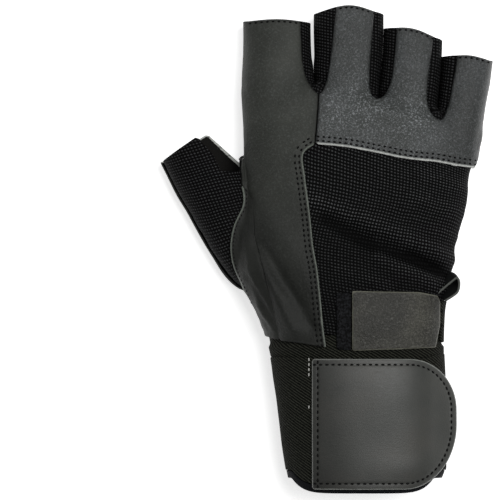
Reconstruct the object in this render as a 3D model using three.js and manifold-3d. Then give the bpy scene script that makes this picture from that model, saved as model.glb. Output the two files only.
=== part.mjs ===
// Half-finger weightlifting glove with a wrist wrap, for the right hand, lying palm down.
// Millimetres. +X runs to the little finger, +Y to the fingertips, +Z up out of the back.
// Every panel is a region of one hollow form: knit and elastic on its inner level, leather
// and the wrap on the level above, overlays and the wrap's leather end on the third.
import * as THREE from 'three';
import { mergeVertices } from 'three/addons/utils/BufferGeometryUtils.js';
import Module from 'manifold-3d';

const wasm = await Module();
wasm.setup();

// Sizes of the form, measured over the knit
const knuckleWidth = 104;
const palmLength = 110;
const fingerLength = 40;
const thumbWidth = 31;
const cuffWidth = 74;
const cuffLength = 65;

// Heights that the form keeps as it lies
const palmDepth = 30;
const fingerDepth = 18;
const thumbDepth = 22;
const cuffDepth = 37;

// Walls of cloth and leather
const knitWall = 1.4;
const leatherWall = 1.4;
const overlayWall = 1.0;
const wrapWall = 1.4;
const hemWall = 1.0;
const patchWall = 1.2;
const hookWall = 0.9;
const tabElasticWall = 1.1;

// Clearance between plies, gap of a butted seam, and how far knit runs on under leather
const plyGap = 0.3;
const seamGap = 0.3;
const lap = 4;

// Height of the side seam between the back and the palm
const seamHeight = 11;

// Levels of the plies, measured outwards from the knit's outer face
const leatherInner = plyGap;
const leatherOuter = leatherInner + leatherWall;
const overlayInner = leatherOuter + plyGap;
const overlayOuter = overlayInner + overlayWall;
const wrapInner = plyGap;
const wrapOuter = wrapInner + wrapWall;

// The wrap's leather end: a strap with a rounded tip that stands off the side of the wrist
const patchLength = 64;
const patchWidth = 57;
const patchStart = -22.4;
const patchTop = -6.2;
const patchSteepest = 0.85;

// Round corners of its tip, as shares of patchLength and patchWidth
const patchTip = { upperLength: 0.33, upperHeight: 0.386, lowerLength: 0.364, lowerHeight: 0.486 };

// Facets of its sheet along and across the strap, and how far it runs on before it is trimmed
const patchColumns = 14;
const patchRows = 6;
const patchTrim = 1;

// The soft folds of the back
const foldWidth = 6;
const foldDepth = 1.2;

// The ribbon loop
const loopWidth = 7;
const loopWall = 1.3;
const loopHeight = 25;

// Facets round each form
const bodyFacets = 22;
const fingerFacets = 14;
const thumbFacets = 14;

// Facets along curved edges
const mouthSteps = 8;
const slotSteps = 12;
const seamSteps = 10;
const stripSteps = 11;
const thumbSeamSteps = 16;
const loopSteps = 18;
const footSteps = 16;
const cornerSteps = 7;

// Points nearer than this are one point
const samePoint = 1e-4;
const samePlace = 1e-5;

// Squareness of an oval section: 2 for an ellipse, more for fuller corners
const bodySquareness = 2.35;
const fingerSquareness = 2.25;

// Where the oval of a section has its widest line, and how far it is pressed flat below
const widestShare = 0.42;
const pressing = 1.22;

// The line of the knuckles falls towards the little finger and bows forwards in the middle
const knuckleSlope = 0.21;
const knuckleBow = 3;
const slantFrom = 0.5;

// Sections at the front of the hand over which its end grows with the ply's level
const bluntSections = 3;

// Step in which the patch's seat is searched for its turn, as a share of half a section
const seatStep = 0.01;

// Sections of the cuff: shares of cuffLength, cuffWidth and cuffDepth
const cuffRows = [
  { along: -1.1, left: -0.4, right: 0.425, height: 0.93 },
  { along: -0.96, left: -0.412, right: 0.436, height: 0.95 },
  { along: -0.84, left: -0.433, right: 0.476, height: 0.97 },
  { along: -0.72, left: -0.449, right: 0.47, height: 0.98 },
  { along: -0.51, left: -0.473, right: 0.473, height: 1.0 },
  { along: -0.24, left: -0.504, right: 0.477, height: 1.0 },
  { along: -0.05, left: -0.53, right: 0.47, height: 0.97 },
];

// Sections of the hand: shares of palmLength, knuckleWidth and palmDepth
const handRows = [
  { along: 0.08, left: -0.41, right: 0.336, height: 1.17 },
  { along: 0.16, left: -0.448, right: 0.343, height: 1.16 },
  { along: 0.24, left: -0.501, right: 0.368, height: 1.15 },
  { along: 0.32, left: -0.527, right: 0.384, height: 1.13 },
  { along: 0.4, left: -0.533, right: 0.396, height: 1.1 },
  { along: 0.48, left: -0.522, right: 0.417, height: 1.07 },
  { along: 0.56, left: -0.497, right: 0.441, height: 1.04 },
  { along: 0.64, left: -0.483, right: 0.45, height: 1.0 },
  { along: 0.72, left: -0.483, right: 0.455, height: 0.95 },
  { along: 0.8, left: -0.487, right: 0.47, height: 0.89 },
  { along: 0.88, left: -0.491, right: 0.489, height: 0.82 },
  { along: 0.94, left: -0.49, right: 0.499, height: 0.75 },
  { along: 0.98, left: -0.475, right: 0.49, height: 0.66 },
];

// Sections of the fingers, which start inside the hand and run on past their mouths.
// along passes 1 at the knuckle line, and from there it is a share of fingerLength.
const fingers = [
  {
    name: 'index',
    rows: [
      { along: 0.84, left: -0.482, right: -0.2, height: 1.08 },
      { along: 1.0, left: -0.49, right: -0.194, height: 1.14 },
      { along: 1.28, left: -0.491, right: -0.207, height: 1.07 },
      { along: 1.55, left: -0.486, right: -0.214, height: 1.02 },
      { along: 1.82, left: -0.487, right: -0.216, height: 1.0 },
      { along: 2.1, left: -0.487, right: -0.216, height: 1.0 },
    ],
    mouth: { left: 1.82, middle: 1.835, right: 1.805 },
  },
  {
    name: 'middle',
    rows: [
      { along: 0.82, left: -0.169, right: 0.051, height: 1.12 },
      { along: 1.0, left: -0.183, right: 0.064, height: 1.2 },
      { along: 1.25, left: -0.198, right: 0.077, height: 1.12 },
      { along: 1.5, left: -0.201, right: 0.085, height: 1.05 },
      { along: 1.77, left: -0.203, right: 0.088, height: 1.02 },
      { along: 2.15, left: -0.2, right: 0.09, height: 1.0 },
    ],
    mouth: { left: 1.905, middle: 1.99, right: 1.9 },
  },
  {
    name: 'ring',
    rows: [
      { along: 0.76, left: 0.088, right: 0.29, height: 1.1 },
      { along: 0.93, left: 0.075, right: 0.313, height: 1.16 },
      { along: 1.12, left: 0.08, right: 0.327, height: 1.09 },
      { along: 1.38, left: 0.093, right: 0.333, height: 1.02 },
      { along: 1.62, left: 0.1, right: 0.337, height: 0.99 },
      { along: 1.95, left: 0.101, right: 0.338, height: 0.98 },
    ],
    mouth: { left: 1.745, middle: 1.73, right: 1.61 },
  },
  {
    name: 'little',
    rows: [
      { along: 0.72, left: 0.33, right: 0.478, height: 1.02 },
      { along: 0.86, left: 0.325, right: 0.497, height: 1.06 },
      { along: 0.98, left: 0.33, right: 0.517, height: 1.0 },
      { along: 1.17, left: 0.34, right: 0.533, height: 0.94 },
      { along: 1.38, left: 0.349, right: 0.544, height: 0.91 },
      { along: 1.62, left: 0.353, right: 0.552, height: 0.9 },
    ],
    mouth: { left: 1.432, middle: 1.44, right: 1.387 },
  },
];

// Centre line of the thumb from its mouth to its root inside the hand: place as shares of
// knuckleWidth and palmLength, width of thumbWidth, height of thumbDepth
const thumbRows = [
  { across: -0.783, along: 0.92, width: 1.02, height: 1.0 },
  { across: -0.712, along: 0.806, width: 1.01, height: 1.0 },
  { across: -0.645, along: 0.678, width: 1.0, height: 1.02 },
  { across: -0.608, along: 0.601, width: 0.94, height: 1.02 },
  { across: -0.57, along: 0.516, width: 0.86, height: 1.0 },
  { across: -0.515, along: 0.42, width: 0.84, height: 0.98 },
  { across: -0.44, along: 0.33, width: 0.84, height: 0.93 },
  { across: -0.34, along: 0.25, width: 0.56, height: 0.8 },
];

// Soft folds of the back: ends as shares of knuckleWidth and palmLength, width as a share of
// foldWidth, and rise as a share of foldDepth, below zero for a valley
const folds = [
  { from: [-0.419, 0.396], to: [-0.216, 0.076], width: 0.9, rise: -1.0 },
  { from: [-0.44, 0.332], to: [-0.3, 0.064], width: 0.8, rise: 0.8 },
  { from: [-0.39, 0.46], to: [-0.24, 0.26], width: 1.1, rise: 0.5 },
  { from: [-0.03, 0.556], to: [0.36, 0.328], width: 1.0, rise: 0.8 },
  { from: [-0.05, 0.448], to: [0.334, 0.288], width: 0.8, rise: -0.8 },
  { from: [0.03, 0.36], to: [0.309, 0.228], width: 0.8, rise: 0.6 },
];

// Slots between the finger panels, from one mouth corner through the crotch to the other
const slotRows = [
  {
    name: 'fourchette_index_middle',
    line: [[-0.262, 2.1], [-0.243, 1.32], [-0.186, 1.015], [-0.146, 1.25], [-0.104, 2.1]],
  },
  {
    name: 'fourchette_middle_ring',
    line: [[0.06, 2.1], [0.036, 1.16], [0.066, 0.986], [0.122, 1.2], [0.158, 2.1]],
  },
  {
    name: 'fourchette_ring_little',
    line: [[0.318, 1.85], [0.279, 1.0], [0.321, 0.903], [0.363, 0.964], [0.428, 1.85]],
  },
];

// Seams and edges seen from above, as shares of knuckleWidth and of the length.
// pastMouths is a place along the fingers past every mouth.
const pastMouths = 2.6;
const knuckleSeam = [
  [-0.205, pastMouths], [-0.185, 1.013], [-0.187, 0.952], [-0.193, 0.88], [-0.201, 0.812],
];
const knuckleHem = [
  [-0.201, 0.812], [-0.072, 0.805], [0.057, 0.784], [0.192, 0.758], [0.306, 0.744],
  [0.404, 0.723], [0.499, 0.709],
];
const stripEdge = [
  [-0.201, 0.812], [-0.25, 0.766], [-0.242, 0.666], [-0.223, 0.523], [-0.208, 0.388],
  [-0.189, 0.282], [-0.166, 0.067], [-0.155, -0.02],
];
const stripFoot = [[-0.155, -0.02], [-0.261, 0.006]];
const gussetFoot = [[-0.401, 0.032]];
const stripSide = [
  [-0.43, 0.05], [-0.49, 0.188], [-0.54, 0.296], [-0.555, 0.36], [-0.555, 0.416],
  [-0.54, 0.48], [-0.503, 0.56], [-0.503, 0.64],
];
const gussetSeam = [[-0.503, 0.64], [-0.465, 0.568], [-0.457, 0.436], [-0.41, 0.276], [-0.351, 0.017]];
const indexOuter = [[-0.503, 0.76], [-0.512, 0.95], [-0.7, 1.1], [-0.7, pastMouths]];
const thumbSeam = [
  [-0.505, 0.72], [-0.49, 0.6], [-0.33, 0.648], [-0.258, 0.56], [-0.245, 0.42],
  [-0.212, 0.27], [-0.27, 0.13], [-0.45, 0.045],
];
const thumbBackRim = [[-0.87, 0.72], [-0.698, 0.832], [-0.63, 0.76], [-0.596, 0.692], [-0.495, 0.696]];
const thumbPalmRim = [[-0.87, 0.725], [-0.656, 0.852], [-0.505, 0.725]];
const overlaySeam = [[-0.43, 0.93], [-0.228, 0.9], [0.0, 0.86], [0.22, 0.81], [0.4, 0.765]];
const overlayFoot = [[0.36, 0.36], [-0.2, 0.36], [-0.215, 0.56], [-0.3, 0.67], [-0.43, 0.655]];
const heelPatch = [[0.3, 0.34], [-0.2, 0.34], [-0.19, 0.28], [-0.24, 0.12], [0.26, 0.1]];
const tabOutline = [
  [-0.046, 0.212], [-0.046, -0.044], [0.19, -0.03], [0.31, -0.02], [0.33, 0.08],
  [0.33, 0.17], [0.318, 0.194], [0.24, 0.208],
];
const hookOutline = [[-0.112, 0.204], [-0.112, -0.03], [-0.05, -0.04], [-0.05, 0.204]];
const wrapTop = [[-0.6, -0.073], [-0.23, -0.088], [0.2, -0.092], [0.3, -0.072], [0.42, -0.035]];
const tabElasticOutline = [[0.334, 0.175], [0.334, 0.01], [0.6, 0.01], [0.6, 0.175]];
const loopLower = [
  [0.307, 0.204], [0.324, 0.234], [0.339, 0.264], [0.357, 0.281], [0.377, 0.287],
  [0.396, 0.277], [0.399, 0.262], [0.38, 0.25], [0.352, 0.231], [0.318, 0.195],
];
const loopUpper = [
  [0.316, 0.205], [0.336, 0.22], [0.357, 0.236], [0.377, 0.251], [0.394, 0.264],
  [0.403, 0.262], [0.408, 0.248], [0.406, 0.222], [0.394, 0.202], [0.35, 0.175],
];

// The open end, whose corners turn up: its place as a share of cuffLength, how far they rise,
// where they stand as a share of cuffWidth, how full its curve is, and the width of its binding
const cuffFoot = -0.998;
const footRise = 6.5;
const footReach = 0.42;
const footFullness = 7;
const hemWidth = 3.2;

// A length far enough to pass every edge of the glove
const farOut = 2 * knuckleWidth + palmLength;

// Place along the glove: the cuff is negative, the palm runs to 1 and the fingers on from 1
function placeAlong(share) {
  if (share < 0) return share * cuffLength;
  if (share <= 1) return share * palmLength;
  return palmLength + (share - 1) * fingerLength;
}

function planPoint([across, along]) {
  return new THREE.Vector2(across * knuckleWidth, placeAlong(along));
}

function planLine(line) {
  return line.map(planPoint);
}

function softLine(line, steps) {
  return new THREE.SplineCurve(planLine(line)).getPoints(steps);
}

// Columns of a table, eased between its rows
function sampler(rows, columns) {
  const keys = rows.map((row) => row.along);
  const values = rows.flatMap((row) => columns.map((column) => row[column]));
  const curve = new THREE.CubicInterpolant(keys, values, columns.length);
  return (along) => {
    const found = curve.evaluate(along);
    return Object.fromEntries(columns.map((column, i) => [column, found[i]]));
  };
}

// A solid from a geometry whose faces close
function solidOf(geometry) {
  const bare = geometry.index ? geometry.toNonIndexed() : geometry.clone();
  bare.deleteAttribute('normal');
  bare.deleteAttribute('uv');
  const merged = mergeVertices(bare, samePlace);
  const mesh = new wasm.Mesh({
    numProp: 3,
    vertProperties: new Float32Array(merged.attributes.position.array),
    triVerts: new Uint32Array(merged.index.array),
  });
  mesh.merge();
  return new wasm.Manifold(mesh);
}

// A closed solid through rings of as many points each
function loft(rings) {
  const count = rings[0].length;
  const points = rings.flat();
  const faces = [];
  for (let r = 0; r + 1 < rings.length; r += 1) {
    for (let i = 0; i < count; i += 1) {
      const a = r * count + i;
      const b = r * count + ((i + 1) % count);
      faces.push(a, b, b + count, a, b + count, a + count);
    }
  }
  for (const [ring, start, turned] of [[rings[0], 0, true], [rings.at(-1), points.length - count, false]]) {
    const middle = ring.reduce((sum, p) => sum.add(p), new THREE.Vector3()).divideScalar(count);
    points.push(middle);
    for (let i = 0; i < count; i += 1) {
      const pair = [start + i, start + ((i + 1) % count)];
      if (turned) pair.reverse();
      faces.push(pair[0], pair[1], points.length - 1);
    }
  }
  const geometry = new THREE.BufferGeometry().setFromPoints(points);
  geometry.setIndex(faces);
  return solidOf(geometry);
}

// An outline seen from above, carried straight up
function prism(outline, bottom, top) {
  const corners = outline.filter((point, i) => point.distanceTo(outline.at(i - 1)) > samePoint);
  const shape = new THREE.Shape(corners);
  const geometry = new THREE.ExtrudeGeometry(shape, { depth: top - bottom, bevelEnabled: false });
  geometry.translate(0, 0, bottom);
  return solidOf(geometry);
}

// An outline carried through everything above and below it
function column(outline) {
  return prism(outline, -farOut, farOut);
}

// The outline of a band of some width along a line
function band(line, width) {
  const sides = [[], []];
  line.forEach((point, i) => {
    const before = line[Math.max(i - 1, 0)];
    const after = line[Math.min(i + 1, line.length - 1)];
    const run = after.clone().sub(before).normalize();
    const side = new THREE.Vector2(-run.y, run.x).multiplyScalar(width / 2);
    sides[0].push(point.clone().add(side));
    sides[1].unshift(point.clone().sub(side));
  });
  return sides.flat();
}

// A thin upright cut along a seam
function seamCut(line) {
  return column(band(line, seamGap));
}

// Half of space above or below a height
function slab(bottom, top) {
  const box = new THREE.BoxGeometry(2 * farOut, 2 * farOut, top - bottom);
  box.translate(0, 0, (top + bottom) / 2);
  return solidOf(box);
}

// The part of space between a line across the glove and a place along it
function stretch(line, to) {
  const [first, last] = [line[0].y, line.at(-1).y];
  return column([
    new THREE.Vector2(-farOut, to), new THREE.Vector2(-farOut, first), ...line,
    new THREE.Vector2(farOut, last), new THREE.Vector2(farOut, to),
  ]);
}

// One oval section: pairs of across and up, grown by a level and pressed flat where it lies
function oval({ halfWidth, height, rest, squareness }, level, count) {
  const seat = rest + height * widestShare;
  const rise = height * (1 - widestShare);
  const drop = height * widestShare * pressing;
  return Array.from({ length: count }, (_, i) => {
    const angle = (2 * Math.PI * i) / count;
    const bend = (value) => Math.sign(value) * Math.abs(value) ** (2 / squareness);
    const up = bend(Math.sin(angle)) * ((angle < Math.PI ? rise : drop) + level);
    return { across: bend(Math.cos(angle)) * (halfWidth + level), up: Math.max(seat + up, rest - level) };
  });
}

// How far the folds lift or sink the back at a place
function foldLift(x, y) {
  const place = new THREE.Vector2(x, y);
  return folds.reduce((lift, fold) => {
    const start = planPoint(fold.from);
    const run = planPoint(fold.to).sub(start);
    const along = place.clone().sub(start).dot(run) / run.lengthSq();
    const nearest = start.clone().addScaledVector(run, THREE.MathUtils.clamp(along, 0, 1));
    const distance = place.distanceTo(nearest) / (fold.width * foldWidth);
    return lift + fold.rise * foldDepth * Math.exp(-distance * distance);
  }, 0);
}

// Hand and cuff as one loft
const bodyRows = [
  ...cuffRows.map((row) => ({
    along: placeAlong(row.along),
    left: row.left * cuffWidth,
    right: row.right * cuffWidth,
    height: row.height * cuffDepth,
    rest: wrapOuter,
    front: 0,
  })),
  ...handRows.map((row, i) => ({
    along: placeAlong(row.along),
    left: row.left * knuckleWidth,
    right: row.right * knuckleWidth,
    height: row.height * palmDepth,
    rest: overlayOuter,
    front: Math.max(0, i + 1 + bluntSections - handRows.length) / bluntSections,
  })),
];
const bodyAt = sampler(bodyRows, ['left', 'right', 'height', 'rest', 'front']);

function bodySection(y) {
  const row = bodyAt(y);
  return {
    centre: (row.left + row.right) / 2,
    halfWidth: (row.right - row.left) / 2,
    height: row.height,
    rest: row.rest,
    front: row.front,
    squareness: bodySquareness,
  };
}

function bodyForm(level) {
  const rings = bodyRows.map((row) => row.along).map((y) => {
    const section = bodySection(y);
    const slant = THREE.MathUtils.smoothstep(y, slantFrom * palmLength, palmLength);
    return oval(section, level, bodyFacets).map(({ across, up }) => {
      const x = section.centre + across;
      const bow = knuckleBow * Math.cos((Math.PI * x) / knuckleWidth);
      const place = y + slant * (bow - knuckleSlope * x) + section.front * level;
      const above = THREE.MathUtils.smoothstep(up, section.rest, section.rest + section.height);
      return new THREE.Vector3(x, place, up + above * foldLift(x, y));
    });
  });
  return loft(rings.map((ring) => ring.reverse()));
}

function fingerForm(finger, level) {
  const rings = finger.rows.map((row) => {
    const section = {
      halfWidth: ((row.right - row.left) / 2) * knuckleWidth,
      height: row.height * fingerDepth,
      rest: overlayOuter,
      squareness: fingerSquareness,
    };
    const centre = ((row.left + row.right) / 2) * knuckleWidth;
    return oval(section, level, fingerFacets).map(
      ({ across, up }) => new THREE.Vector3(centre + across, placeAlong(row.along), up),
    );
  });
  return loft(rings.map((ring) => ring.reverse()));
}

function thumbForm(level) {
  const middles = thumbRows.map((row) => planPoint([row.across, row.along]));
  const rings = thumbRows.map((row, i) => {
    const before = middles[Math.max(i - 1, 0)];
    const after = middles[Math.min(i + 1, middles.length - 1)];
    const run = after.clone().sub(before).normalize();
    const side = new THREE.Vector2(-run.y, run.x);
    const section = {
      halfWidth: (row.width * thumbWidth) / 2,
      height: row.height * thumbDepth,
      rest: overlayOuter,
      squareness: fingerSquareness,
    };
    return oval(section, level, thumbFacets).map(({ across, up }) => {
      const place = middles[i].clone().addScaledVector(side, across);
      return new THREE.Vector3(place.x, place.y, up);
    });
  });
  return loft(rings);
}

function gloveForm(level) {
  return fingers.reduce(
    (form, finger) => form.add(fingerForm(finger, level)),
    bodyForm(level).add(thumbForm(level)),
  );
}

// The plies of the whole glove
const knitPly = gloveForm(0).subtract(gloveForm(-knitWall));
const leatherPly = gloveForm(leatherOuter).subtract(gloveForm(leatherInner));

// Everything past the mouth of one finger, out to the middle of the gaps beside it
function pastMouth({ rows, mouth }, i) {
  const own = rows.at(-1);
  const before = fingers[i - 1]?.rows.at(-1).right ?? -pastMouths;
  const after = fingers[i + 1]?.rows.at(-1).left ?? pastMouths;
  const [first, last] = [(before + own.left) / 2, (own.right + after) / 2];
  const edge = softLine([
    [own.left, mouth.left], [(own.left + own.right) / 2, mouth.middle], [own.right, mouth.right],
  ], mouthSteps);
  return column([
    ...planLine([[first, mouth.left]]), ...edge, ...planLine([[last, mouth.right]]),
    ...planLine([[last, pastMouths], [first, pastMouths]]),
  ]);
}

// A slot between two finger panels, widened all round
function slotCut({ line }, spread) {
  const outline = softLine(line, slotSteps);
  const lowest = outline.reduce((low, point) => (point.y < low.y ? point : low));
  const turn = outline.indexOf(lowest);
  return column(outline.map((point, i) => {
    const side = Math.sign(i - turn);
    const sunk = i === turn ? spread : 0;
    return new THREE.Vector2(point.x + side * spread, point.y - sunk);
  }));
}

const open = fingers.map(pastMouth).reduce((all, piece) => all.add(piece));
const slots = slotRows.map((row) => slotCut(row, 0)).reduce((all, piece) => all.add(piece));
const backSide = slab(seamHeight + seamGap / 2, farOut);
const palmSide = slab(-farOut, seamHeight - seamGap / 2);
const knitSide = slab(seamHeight - lap, farOut);

const backLeather = leatherPly.intersect(backSide).subtract(open).subtract(slots);
const palmLeather = leatherPly.intersect(palmSide).subtract(open).subtract(slots);

const shifted = (line, x, y) => line.map((point) => new THREE.Vector2(point.x + x, point.y + y));

const knuckleLine = planLine(knuckleSeam);
const knuckleCut = seamCut(knuckleLine);
const gussetLine = softLine(gussetSeam, seamSteps);
const gussetCut = seamCut(gussetLine);

function indexSideLeather() {
  const region = [
    ...knuckleLine,
    ...softLine(stripEdge, stripSteps),
    ...planLine(stripFoot),
    ...[...gussetLine].reverse(),
    ...planLine(indexOuter),
  ];
  return backLeather.intersect(column(region)).subtract(knuckleCut).subtract(gussetCut);
}

function thumbGusset() {
  const region = [...gussetLine, ...planLine(gussetFoot), ...softLine(stripSide, stripSteps)];
  return backLeather.intersect(column(region)).subtract(gussetCut);
}

function knuckleLeather() {
  const region = [
    ...knuckleLine, ...planLine([...knuckleHem, [0.8, 0.7], [0.8, pastMouths]]),
  ];
  return backLeather.intersect(column(region)).subtract(knuckleCut);
}

function backKnit() {
  const region = [
    ...shifted(softLine(stripEdge, stripSteps), -lap, 0),
    ...planLine([[0.8, -0.05], [0.8, 0.74]]),
    ...shifted(planLine(knuckleHem), 0, lap).reverse(),
  ];
  const aboveCuff = stretch([new THREE.Vector2(0, lap + seamGap)], farOut);
  return knitPly.intersect(column(region)).intersect(knitSide).intersect(aboveCuff);
}

function fourchette(row) {
  return knitPly.intersect(slotCut(row, lap)).subtract(open);
}

function thumbKnit() {
  const region = [
    ...planLine(thumbBackRim),
    ...shifted(softLine(stripSide, stripSteps), lap, 0).reverse(),
    ...planLine([[-0.9, 0.03], [-1.0, 0.7]]),
  ];
  return knitPly.intersect(column(region)).intersect(knitSide);
}

const thumbLine = [...planLine([[-0.512, 0.95]]), ...softLine(thumbSeam, thumbSeamSteps), ...planLine([[-0.7, 0.03]])];

function thumbLeather() {
  const region = [
    ...planLine(thumbPalmRim), ...softLine(thumbSeam, thumbSeamSteps), ...planLine([[-1.0, 0.03], [-1.0, 0.7]]),
  ];
  return palmLeather.intersect(column(region)).subtract(seamCut(thumbLine));
}

function palmPanel() {
  const region = [
    ...planLine([[-0.7, pastMouths], [-0.7, 1.1]]),
    ...thumbLine,
    ...planLine([[-0.7, 0], [0.8, 0], [0.8, pastMouths]]),
  ];
  return palmLeather.intersect(column(region)).subtract(seamCut(thumbLine));
}

function bodyPly(inner, outer) {
  return bodyForm(outer).subtract(bodyForm(inner));
}

const overlayPly = gloveForm(overlayOuter).subtract(gloveForm(overlayInner)).intersect(palmSide);

function palmOverlay() {
  return overlayPly.intersect(column([...planLine(overlaySeam), ...planLine(overlayFoot)]));
}

function heelLayer() {
  return overlayPly.intersect(column(planLine(heelPatch)));
}

function strap(outline, wall) {
  const ply = gloveForm(plyGap + wall).subtract(gloveForm(plyGap));
  return ply.intersect(backSide).intersect(column(planLine(outline)));
}

// The ribbon leans, so its lower and its upper edge have a route each
function pullLoop() {
  const [lower, upper] = [loopLower, loopUpper].map((route) => softLine(route, loopSteps));
  const rings = lower.map((point, i) => {
    const run = lower[Math.min(i + 1, loopSteps)].clone().sub(lower[Math.max(i - 1, 0)]).normalize();
    const side = new THREE.Vector2(-run.y, run.x).multiplyScalar(loopWall / 2);
    const corner = (place, way, up) => new THREE.Vector3(place.x + way * side.x, place.y + way * side.y, up);
    const [bottom, top] = [loopHeight - loopWidth / 2, loopHeight + loopWidth / 2];
    return [
      corner(point, -1, bottom), corner(point, 1, bottom), corner(upper[i], 1, top), corner(upper[i], -1, top),
    ];
  });
  return loft(rings).subtract(gloveForm(leatherOuter + plyGap));
}

const foot = Array.from({ length: footSteps + 1 }, (_, i) => {
  const share = (2 * i) / footSteps - 1;
  const rise = footRise * Math.abs(share) ** footFullness;
  return new THREE.Vector2(share * footReach * cuffWidth, cuffFoot * cuffLength + rise);
});

function cuffElastic() {
  return bodyPly(-knitWall, 0).intersect(stretch(foot, lap));
}

function wristWrap() {
  const top = planLine(wrapTop);
  const region = [new THREE.Vector2(-farOut, top[0].y), ...top, new THREE.Vector2(farOut, top.at(-1).y)];
  const ends = shifted(foot, 0, hemWidth + seamGap);
  region.push(new THREE.Vector2(farOut, ends.at(-1).y), ...ends.reverse());
  region.push(new THREE.Vector2(-farOut, region.at(-1).y));
  return bodyPly(wrapInner, wrapOuter).intersect(column(region));
}

function cuffHem() {
  const above = stretch(shifted(foot, 0, hemWidth), lap);
  return bodyPly(plyGap, plyGap + hemWall).intersect(stretch(foot, lap)).subtract(above);
}

// Height and slope of the back over the wrap, carried on straight where it turns too steep
function patchSeat(x, y) {
  const section = bodySection(y);
  const level = wrapOuter + plyGap;
  const power = section.squareness;
  const reach = section.halfWidth + level;
  const rise = section.height * (1 - widestShare) + level;
  const seat = section.rest + section.height * widestShare;
  const heightAt = (share) => seat + rise * (1 - Math.abs(share) ** power) ** (1 / power);
  const slopeAt = (share) => (heightAt(share + seatStep) - heightAt(share)) / (seatStep * reach);
  let share = (x - section.centre) / reach;
  let turn = 0;
  while (slopeAt(turn) > -patchSteepest) turn += seatStep;
  const past = Math.max(0, share - turn) * reach;
  share = Math.min(share, turn);
  const slope = past > 0 ? -patchSteepest : slopeAt(share);
  return { up: heightAt(share) - past * patchSteepest, slope };
}

// A closed sheet between two grids of points
function sheet(lower, upper) {
  const rows = lower.length;
  const columns = lower[0].length;
  const points = [...lower.flat(), ...upper.flat()];
  const at = (side, r, c) => side * rows * columns + r * columns + c;
  const faces = [];
  const quad = (a, b, c, d) => faces.push(a, b, c, a, c, d);
  for (let r = 0; r + 1 < rows; r += 1) {
    for (let c = 0; c + 1 < columns; c += 1) {
      quad(at(1, r, c), at(1, r, c + 1), at(1, r + 1, c + 1), at(1, r + 1, c));
      quad(at(0, r, c), at(0, r + 1, c), at(0, r + 1, c + 1), at(0, r, c + 1));
    }
    const last = columns - 1;
    quad(at(0, r, 0), at(1, r, 0), at(1, r + 1, 0), at(0, r + 1, 0));
    quad(at(0, r, last), at(0, r + 1, last), at(1, r + 1, last), at(1, r, last));
  }
  for (let c = 0; c + 1 < columns; c += 1) {
    const last = rows - 1;
    quad(at(0, 0, c), at(0, 0, c + 1), at(1, 0, c + 1), at(1, 0, c));
    quad(at(0, last, c), at(1, last, c), at(1, last, c + 1), at(0, last, c + 1));
  }
  const geometry = new THREE.BufferGeometry().setFromPoints(points);
  geometry.setIndex(faces);
  return solidOf(geometry);
}

function wrapPatch() {
  const [length, width] = [patchLength + 2 * patchTrim, patchWidth + 2 * patchTrim];
  const grid = (wall) => Array.from({ length: patchRows + 1 }, (_, r) => {
    const y = patchTop + patchTrim - (width * (patchRows - r)) / patchRows;
    return Array.from({ length: patchColumns + 1 }, (_, c) => {
      const x = patchStart - patchTrim + (length * c) / patchColumns;
      const { up, slope } = patchSeat(x, y);
      const run = Math.hypot(1, slope);
      return new THREE.Vector3(x - (wall * slope) / run, y, up + wall / run);
    });
  });
  const right = patchStart + patchLength;
  const bottom = patchTop - patchWidth;
  const upper = { x: patchTip.upperLength * patchLength, y: patchTip.upperHeight * patchWidth };
  const lower = { x: patchTip.lowerLength * patchLength, y: patchTip.lowerHeight * patchWidth };
  const outline = new THREE.Shape();
  outline.moveTo(patchStart, bottom);
  outline.lineTo(right - lower.x, bottom);
  outline.absellipse(right - lower.x, bottom + lower.y, lower.x, lower.y, -Math.PI / 2, 0, false);
  outline.absellipse(right - upper.x, patchTop - upper.y, upper.x, upper.y, 0, Math.PI / 2, false);
  outline.lineTo(patchStart, patchTop);
  return sheet(grid(0), grid(patchWall)).intersect(column(outline.getPoints(cornerSteps)));
}

// The largest body of a solid, as a mesh with a finish
function piece(name, solid, color, roughness) {
  const bodies = solid.decompose().sort((a, b) => b.volume() - a.volume());
  const { vertProperties, triVerts } = bodies[0].getMesh();
  const geometry = new THREE.BufferGeometry();
  geometry.setAttribute('position', new THREE.BufferAttribute(vertProperties, 3));
  geometry.setIndex(new THREE.BufferAttribute(triVerts, 1));
  geometry.computeVertexNormals();
  const material = new THREE.MeshStandardMaterial({ color, roughness, metalness: 0 });
  const mesh = new THREE.Mesh(geometry, material);
  mesh.name = name;
  return mesh;
}

const leather = ['#3c3e3a', 0.6];
const smoothLeather = ['#474847', 0.5];
const knit = ['#17181a', 0.9];
const elastic = ['#1d1f22', 0.85];
const navy = ['#1b2136', 0.85];

const glove = new THREE.Group();
glove.add(
  piece('index_side_leather', indexSideLeather(), ...leather),
  piece('thumb_gusset', thumbGusset(), ...leather),
  piece('knuckle_leather', knuckleLeather(), ...leather),
  piece('palm_leather', palmPanel(), ...leather),
  piece('thumb_leather', thumbLeather(), ...leather),
  piece('palm_overlay', palmOverlay(), ...leather),
  piece('heel_patch', heelLayer(), ...leather),
  piece('tab_strap', strap(tabOutline, leatherWall), ...leather),
  piece('wrap_patch', wrapPatch(), ...smoothLeather),
  piece('back_knit', backKnit(), ...knit),
  ...slotRows.map((row) => piece(row.name, fourchette(row), ...knit)),
  piece('thumb_knit', thumbKnit(), ...knit),
  piece('cuff_elastic', cuffElastic(), ...elastic),
  piece('wrist_wrap', wristWrap(), ...elastic),
  piece('cuff_hem', cuffHem(), ...navy),
  piece('tab_hook', strap(hookOutline, hookWall), ...knit),
  piece('tab_elastic', strap(tabElasticOutline, tabElasticWall), ...elastic),
  piece('pull_loop', pullLoop(), ...elastic),
);

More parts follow.
